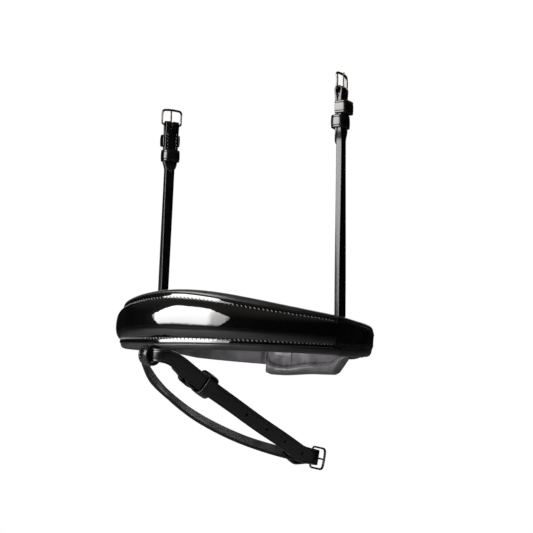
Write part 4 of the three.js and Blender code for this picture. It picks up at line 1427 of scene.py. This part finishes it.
def flash_keeper():
    """A loose keeper round both straps."""
    at, along, _, out, _, _ = long_strip.at(FLASH_RUNNER_AT)
    place = axes_matrix(out, np.cross(along, out), along, at)
    inner = -FLASH_T * 1.5 - UNDER - FLASH_TAIL_T - KEEPER_T - 1.4
    outline = runner_outline(inner, FLASH_T / 2 + 0.7 + KEEPER_T, FLASH_W / 2 + 2 + KEEPER_T, KEEPER_T)
    leather_band("flash_runner", "flash_runner_keeper", outline, place, 11, KEEPER_T, "flash_runner", True)


LOOP_W = 10.0
LOOP_OUT = 8.6
LOOP_IN = 6.1


def flash_loop():
    """A rolled loop of leather with two rows of grey stitches, and its tab going up behind the panel."""
    mid, thick = (LOOP_OUT + LOOP_IN) / 2, LOOP_OUT - LOOP_IN
    turn = np.linspace(0, 2 * math.pi, 64, endpoint=False)
    path = []
    for q in turn:
        out = np.array([0, math.cos(q), math.sin(q)])
        path.append((LOOP_CENTRE + out * mid, np.array([1.0, 0, 0]), out, LOOP_W, thick))
    loop = sweep("strap_loop", path, POLISHED, ROOT, closed_path=True, crown=0.35, edge=0.8)
    stands_for(loop, "bridle_leather", "flash_loop")
    turn = np.linspace(0, 2 * math.pi, 120)
    circle = np.stack([np.zeros(len(turn)), np.cos(turn), np.sin(turn)], -1) * (LOOP_OUT - 0.15)
    rows = []
    for x in (-2.1, 2.1):
        at, along = spaced(LOOP_CENTRE + circle + [x, 0, 0], 2.7, 0)
        rows.append((at[:-1], along[:-1], (at[:-1] - LOOP_CENTRE) * [0, 1, 1]))
    rows = [np.concatenate(part) for part in zip(*rows)]
    sewn = stitches("loop_stitches", *rows, GREY_THREAD, ROOT, length=1.7, radius=0.26, slant=0.2)
    stands_for(sewn, "bridle_leather")
    angle = math.atan2(LOOP_CENTRE[0], -LOOP_CENTRE[1])
    across, out = tilted(on_ring(angle + math.pi / 2, 1.0, 0.0)), tilted(on_ring(angle, 1.0, 0.0))
    radius = (BACKING_IN + BACKING_OUT) / 2
    path = [(tilted(on_ring(angle, radius, h)), across, out, LOOP_W, 2.3) for h in np.linspace(-25.5, -9, 10)]
    tab = sweep("strap_loop_tab", path, STRAP, ROOT)
    stands_for(tab, "bridle_leather")


# ---------------------------------------------------------------- stage, light and camera

WHITE = (1, 1, 1, 1)
FLOOR_Z = -0.42
FLOOR_HALF = 6.0
centre = Vector(RING_CENTRE * MM)


def flat_mesh(name, corners, surface):
    mesh = bpy.data.meshes.new(name)
    mesh.from_pydata(corners, [], [tuple(range(len(corners)))])
    mesh.materials.append(surface)
    made = bpy.data.objects.new(name, mesh)
    bpy.context.scene.collection.objects.link(made)
    return made


def split_camera_rays(tree, seen, lit, surface):
    """The camera sees one shader and every other ray meets the other."""
    path = tree.nodes.new("ShaderNodeLightPath")
    mix = tree.nodes.new("ShaderNodeMixShader")
    tree.links.new(path.outputs["Is Camera Ray"], mix.inputs["Fac"])
    tree.links.new(lit, mix.inputs[1])
    tree.links.new(seen, mix.inputs[2])
    tree.links.new(mix.outputs["Shader"], surface)


def backdrop():
    """A pale floor well below the hanging noseband. The camera sees it burnt out to white."""
    made, tree, _ = material("pale_floor", (0.25, 0.25, 0.26), 0.8)
    glow = tree.nodes.new("ShaderNodeEmission")
    glow.inputs["Color"].default_value = WHITE
    lit = tree.nodes["Principled BSDF"].outputs["BSDF"]
    split_camera_rays(tree, glow.outputs["Emission"], lit, tree.nodes["Material Output"].inputs["Surface"])
    corners = ((-1, -1), (1, -1), (1, 1), (-1, 1))
    flat_mesh("floor", [(x * FLOOR_HALF, y * FLOOR_HALF, FLOOR_Z) for x, y in corners], made)


def studio():
    """A white backdrop seen only by the camera. Reflections see a dark room with a dim grey ceiling."""
    world = bpy.data.worlds.new("studio")
    bpy.context.scene.world = world
    world.use_nodes = True
    tree = world.node_tree
    tree.nodes.clear()
    white = tree.nodes.new("ShaderNodeBackground")
    white.inputs["Color"].default_value = WHITE
    room = tree.nodes.new("ShaderNodeBackground")
    height = generated(tree, "Z")
    ceiling = ramp(tree, height, (0.30, (0.006, 0.0055, 0.005)), (0.75, (0.09, 0.087, 0.084)))
    tree.links.new(ceiling, room.inputs["Color"])
    surface = tree.nodes.new("ShaderNodeOutputWorld").inputs["Surface"]
    split_camera_rays(tree, white.outputs["Background"], room.outputs["Background"], surface)


def generated(tree, axis):
    """One axis of the generated coordinate.

    It runs from 0 to 1 across an object's box, and from -1 to 1 by direction in the world.
    """
    place = tree.nodes.new("ShaderNodeTexCoord")
    parts = tree.nodes.new("ShaderNodeSeparateXYZ")
    tree.links.new(place.outputs["Generated"], parts.inputs["Vector"])
    return parts.outputs[axis]


# How bright a softbox is, as (place, brightness): across it and up it
SOFT_SIDES = ((0, 0.1), (0.07, 1), (0.70, 1), (0.80, 0.45), (0.94, 0.35), (1, 0.05))
SOFT_ENDS = ((0, 0.15), (0.14, 1), (0.9, 1), (1, 0.3))


def panel_glow(name, top, bottom):
    """Light that fades from top to bottom and at the edges."""
    made = bpy.data.materials.new(name)
    made.use_nodes = True
    tree = made.node_tree
    tree.nodes.clear()
    fade = tree.nodes.new("ShaderNodeMapRange")
    fade.inputs["To Min"].default_value = bottom
    fade.inputs["To Max"].default_value = top
    tree.links.new(generated(tree, "Z"), fade.inputs["Value"])
    strength = fade.outputs["Result"]
    for axis, stops in (("X", SOFT_SIDES), ("Z", SOFT_ENDS)):
        edge = ramp(tree, generated(tree, axis), *stops, interpolation="EASE")
        product = tree.nodes.new("ShaderNodeMath")
        product.operation = "MULTIPLY"
        tree.links.new(strength, product.inputs[0])
        tree.links.new(edge, product.inputs[1])
        strength = product.outputs["Value"]
    glow = tree.nodes.new("ShaderNodeEmission")
    glow.inputs["Color"].default_value = (1, 0.985, 0.975, 1)
    tree.links.new(strength, glow.inputs["Strength"])
    out = tree.nodes.new("ShaderNodeOutputMaterial")
    tree.links.new(glow.outputs["Emission"], out.inputs["Surface"])
    return made


def softbox(name, azimuth, elevation, distance, width, height, top, bottom):
    """A glowing panel with cut corners that faces the noseband.

    Azimuth 0 is in front of the nose and 90 on the near side. Top and bottom are its strengths there.
    """
    a, e = deg(azimuth), deg(elevation)
    back = Vector((math.sin(a) * math.cos(e), -math.cos(a) * math.cos(e), math.sin(e)))
    side = Vector((math.cos(a), math.sin(a), 0))
    up = back.cross(side)
    w, h = width / 2, height / 2
    low, high = 0.12 * width, 0.32 * width  # how much the corners are cut
    outline = [(-w, -0.2 * h), (low - w, -h), (w - low, -h), (w, -0.1 * h)]
    outline += [(w, 0.1 * h), (w - high, h), (high - w, h)]
    panel = flat_mesh(name, [side * x + up * y for x, y in outline], panel_glow(name, top, bottom))
    panel.location = centre + back * distance
    panel.visible_camera = False


CAMERA_AZIMUTH = deg(45)
CAMERA_PITCH = deg(4.1445)
CAMERA_ROLL = deg(1.2827)
CAMERA_PLACE = Vector((0.78924, -0.7664, -0.0229))  # metres from the middle of the ring
CAMERA_LENS = 86.56


def camera():
    """On the near side of the nose, a little below the band and looking up at it."""
    right = Vector((math.cos(CAMERA_AZIMUTH), math.sin(CAMERA_AZIMUTH), 0))
    level = Vector((-right.y, right.x, 0))
    forward = level * math.cos(CAMERA_PITCH) + Vector((0, 0, math.sin(CAMERA_PITCH)))
    up = right.cross(forward)
    turned_right = right * math.cos(CAMERA_ROLL) + up * math.sin(CAMERA_ROLL)
    turned_up = up * math.cos(CAMERA_ROLL) - right * math.sin(CAMERA_ROLL)
    basis = Matrix((turned_right, turned_up, -forward)).transposed().to_4x4()
    basis.translation = CAMERA_PLACE + centre
    data = bpy.data.cameras.new("camera")
    data.lens = CAMERA_LENS
    data.clip_start = 0.01
    eye = bpy.data.objects.new("camera", data)
    eye.matrix_world = basis
    bpy.context.scene.collection.objects.link(eye)
    bpy.context.scene.camera = eye


nose_panel()
panel_stitches()
cross_stitches()
nose_filler()
nose_backing()
nose_lining()
near_rear_strap()
off_rear_strap()
rear_linings()
chin_pad()
jaw_keepers()
jaw_buckle()
cheek_strap("near")
cheek_strap("off")
flash_straps()
flash_loop()

backdrop()
studio()
softbox("key_panel", azimuth=-1.5, elevation=17, distance=1.2, width=1.7, height=0.92, top=12, bottom=6.5)
softbox("floor_sheet", azimuth=62, elevation=-30, distance=1.4, width=1.3, height=0.55, top=0.9, bottom=0.6)
softbox("rear_panel", azimuth=215, elevation=30, distance=1.5, width=1.4, height=0.9, top=2.4, bottom=1.4)
camera()
bpy.context.scene.view_settings.view_transform = "Standard"
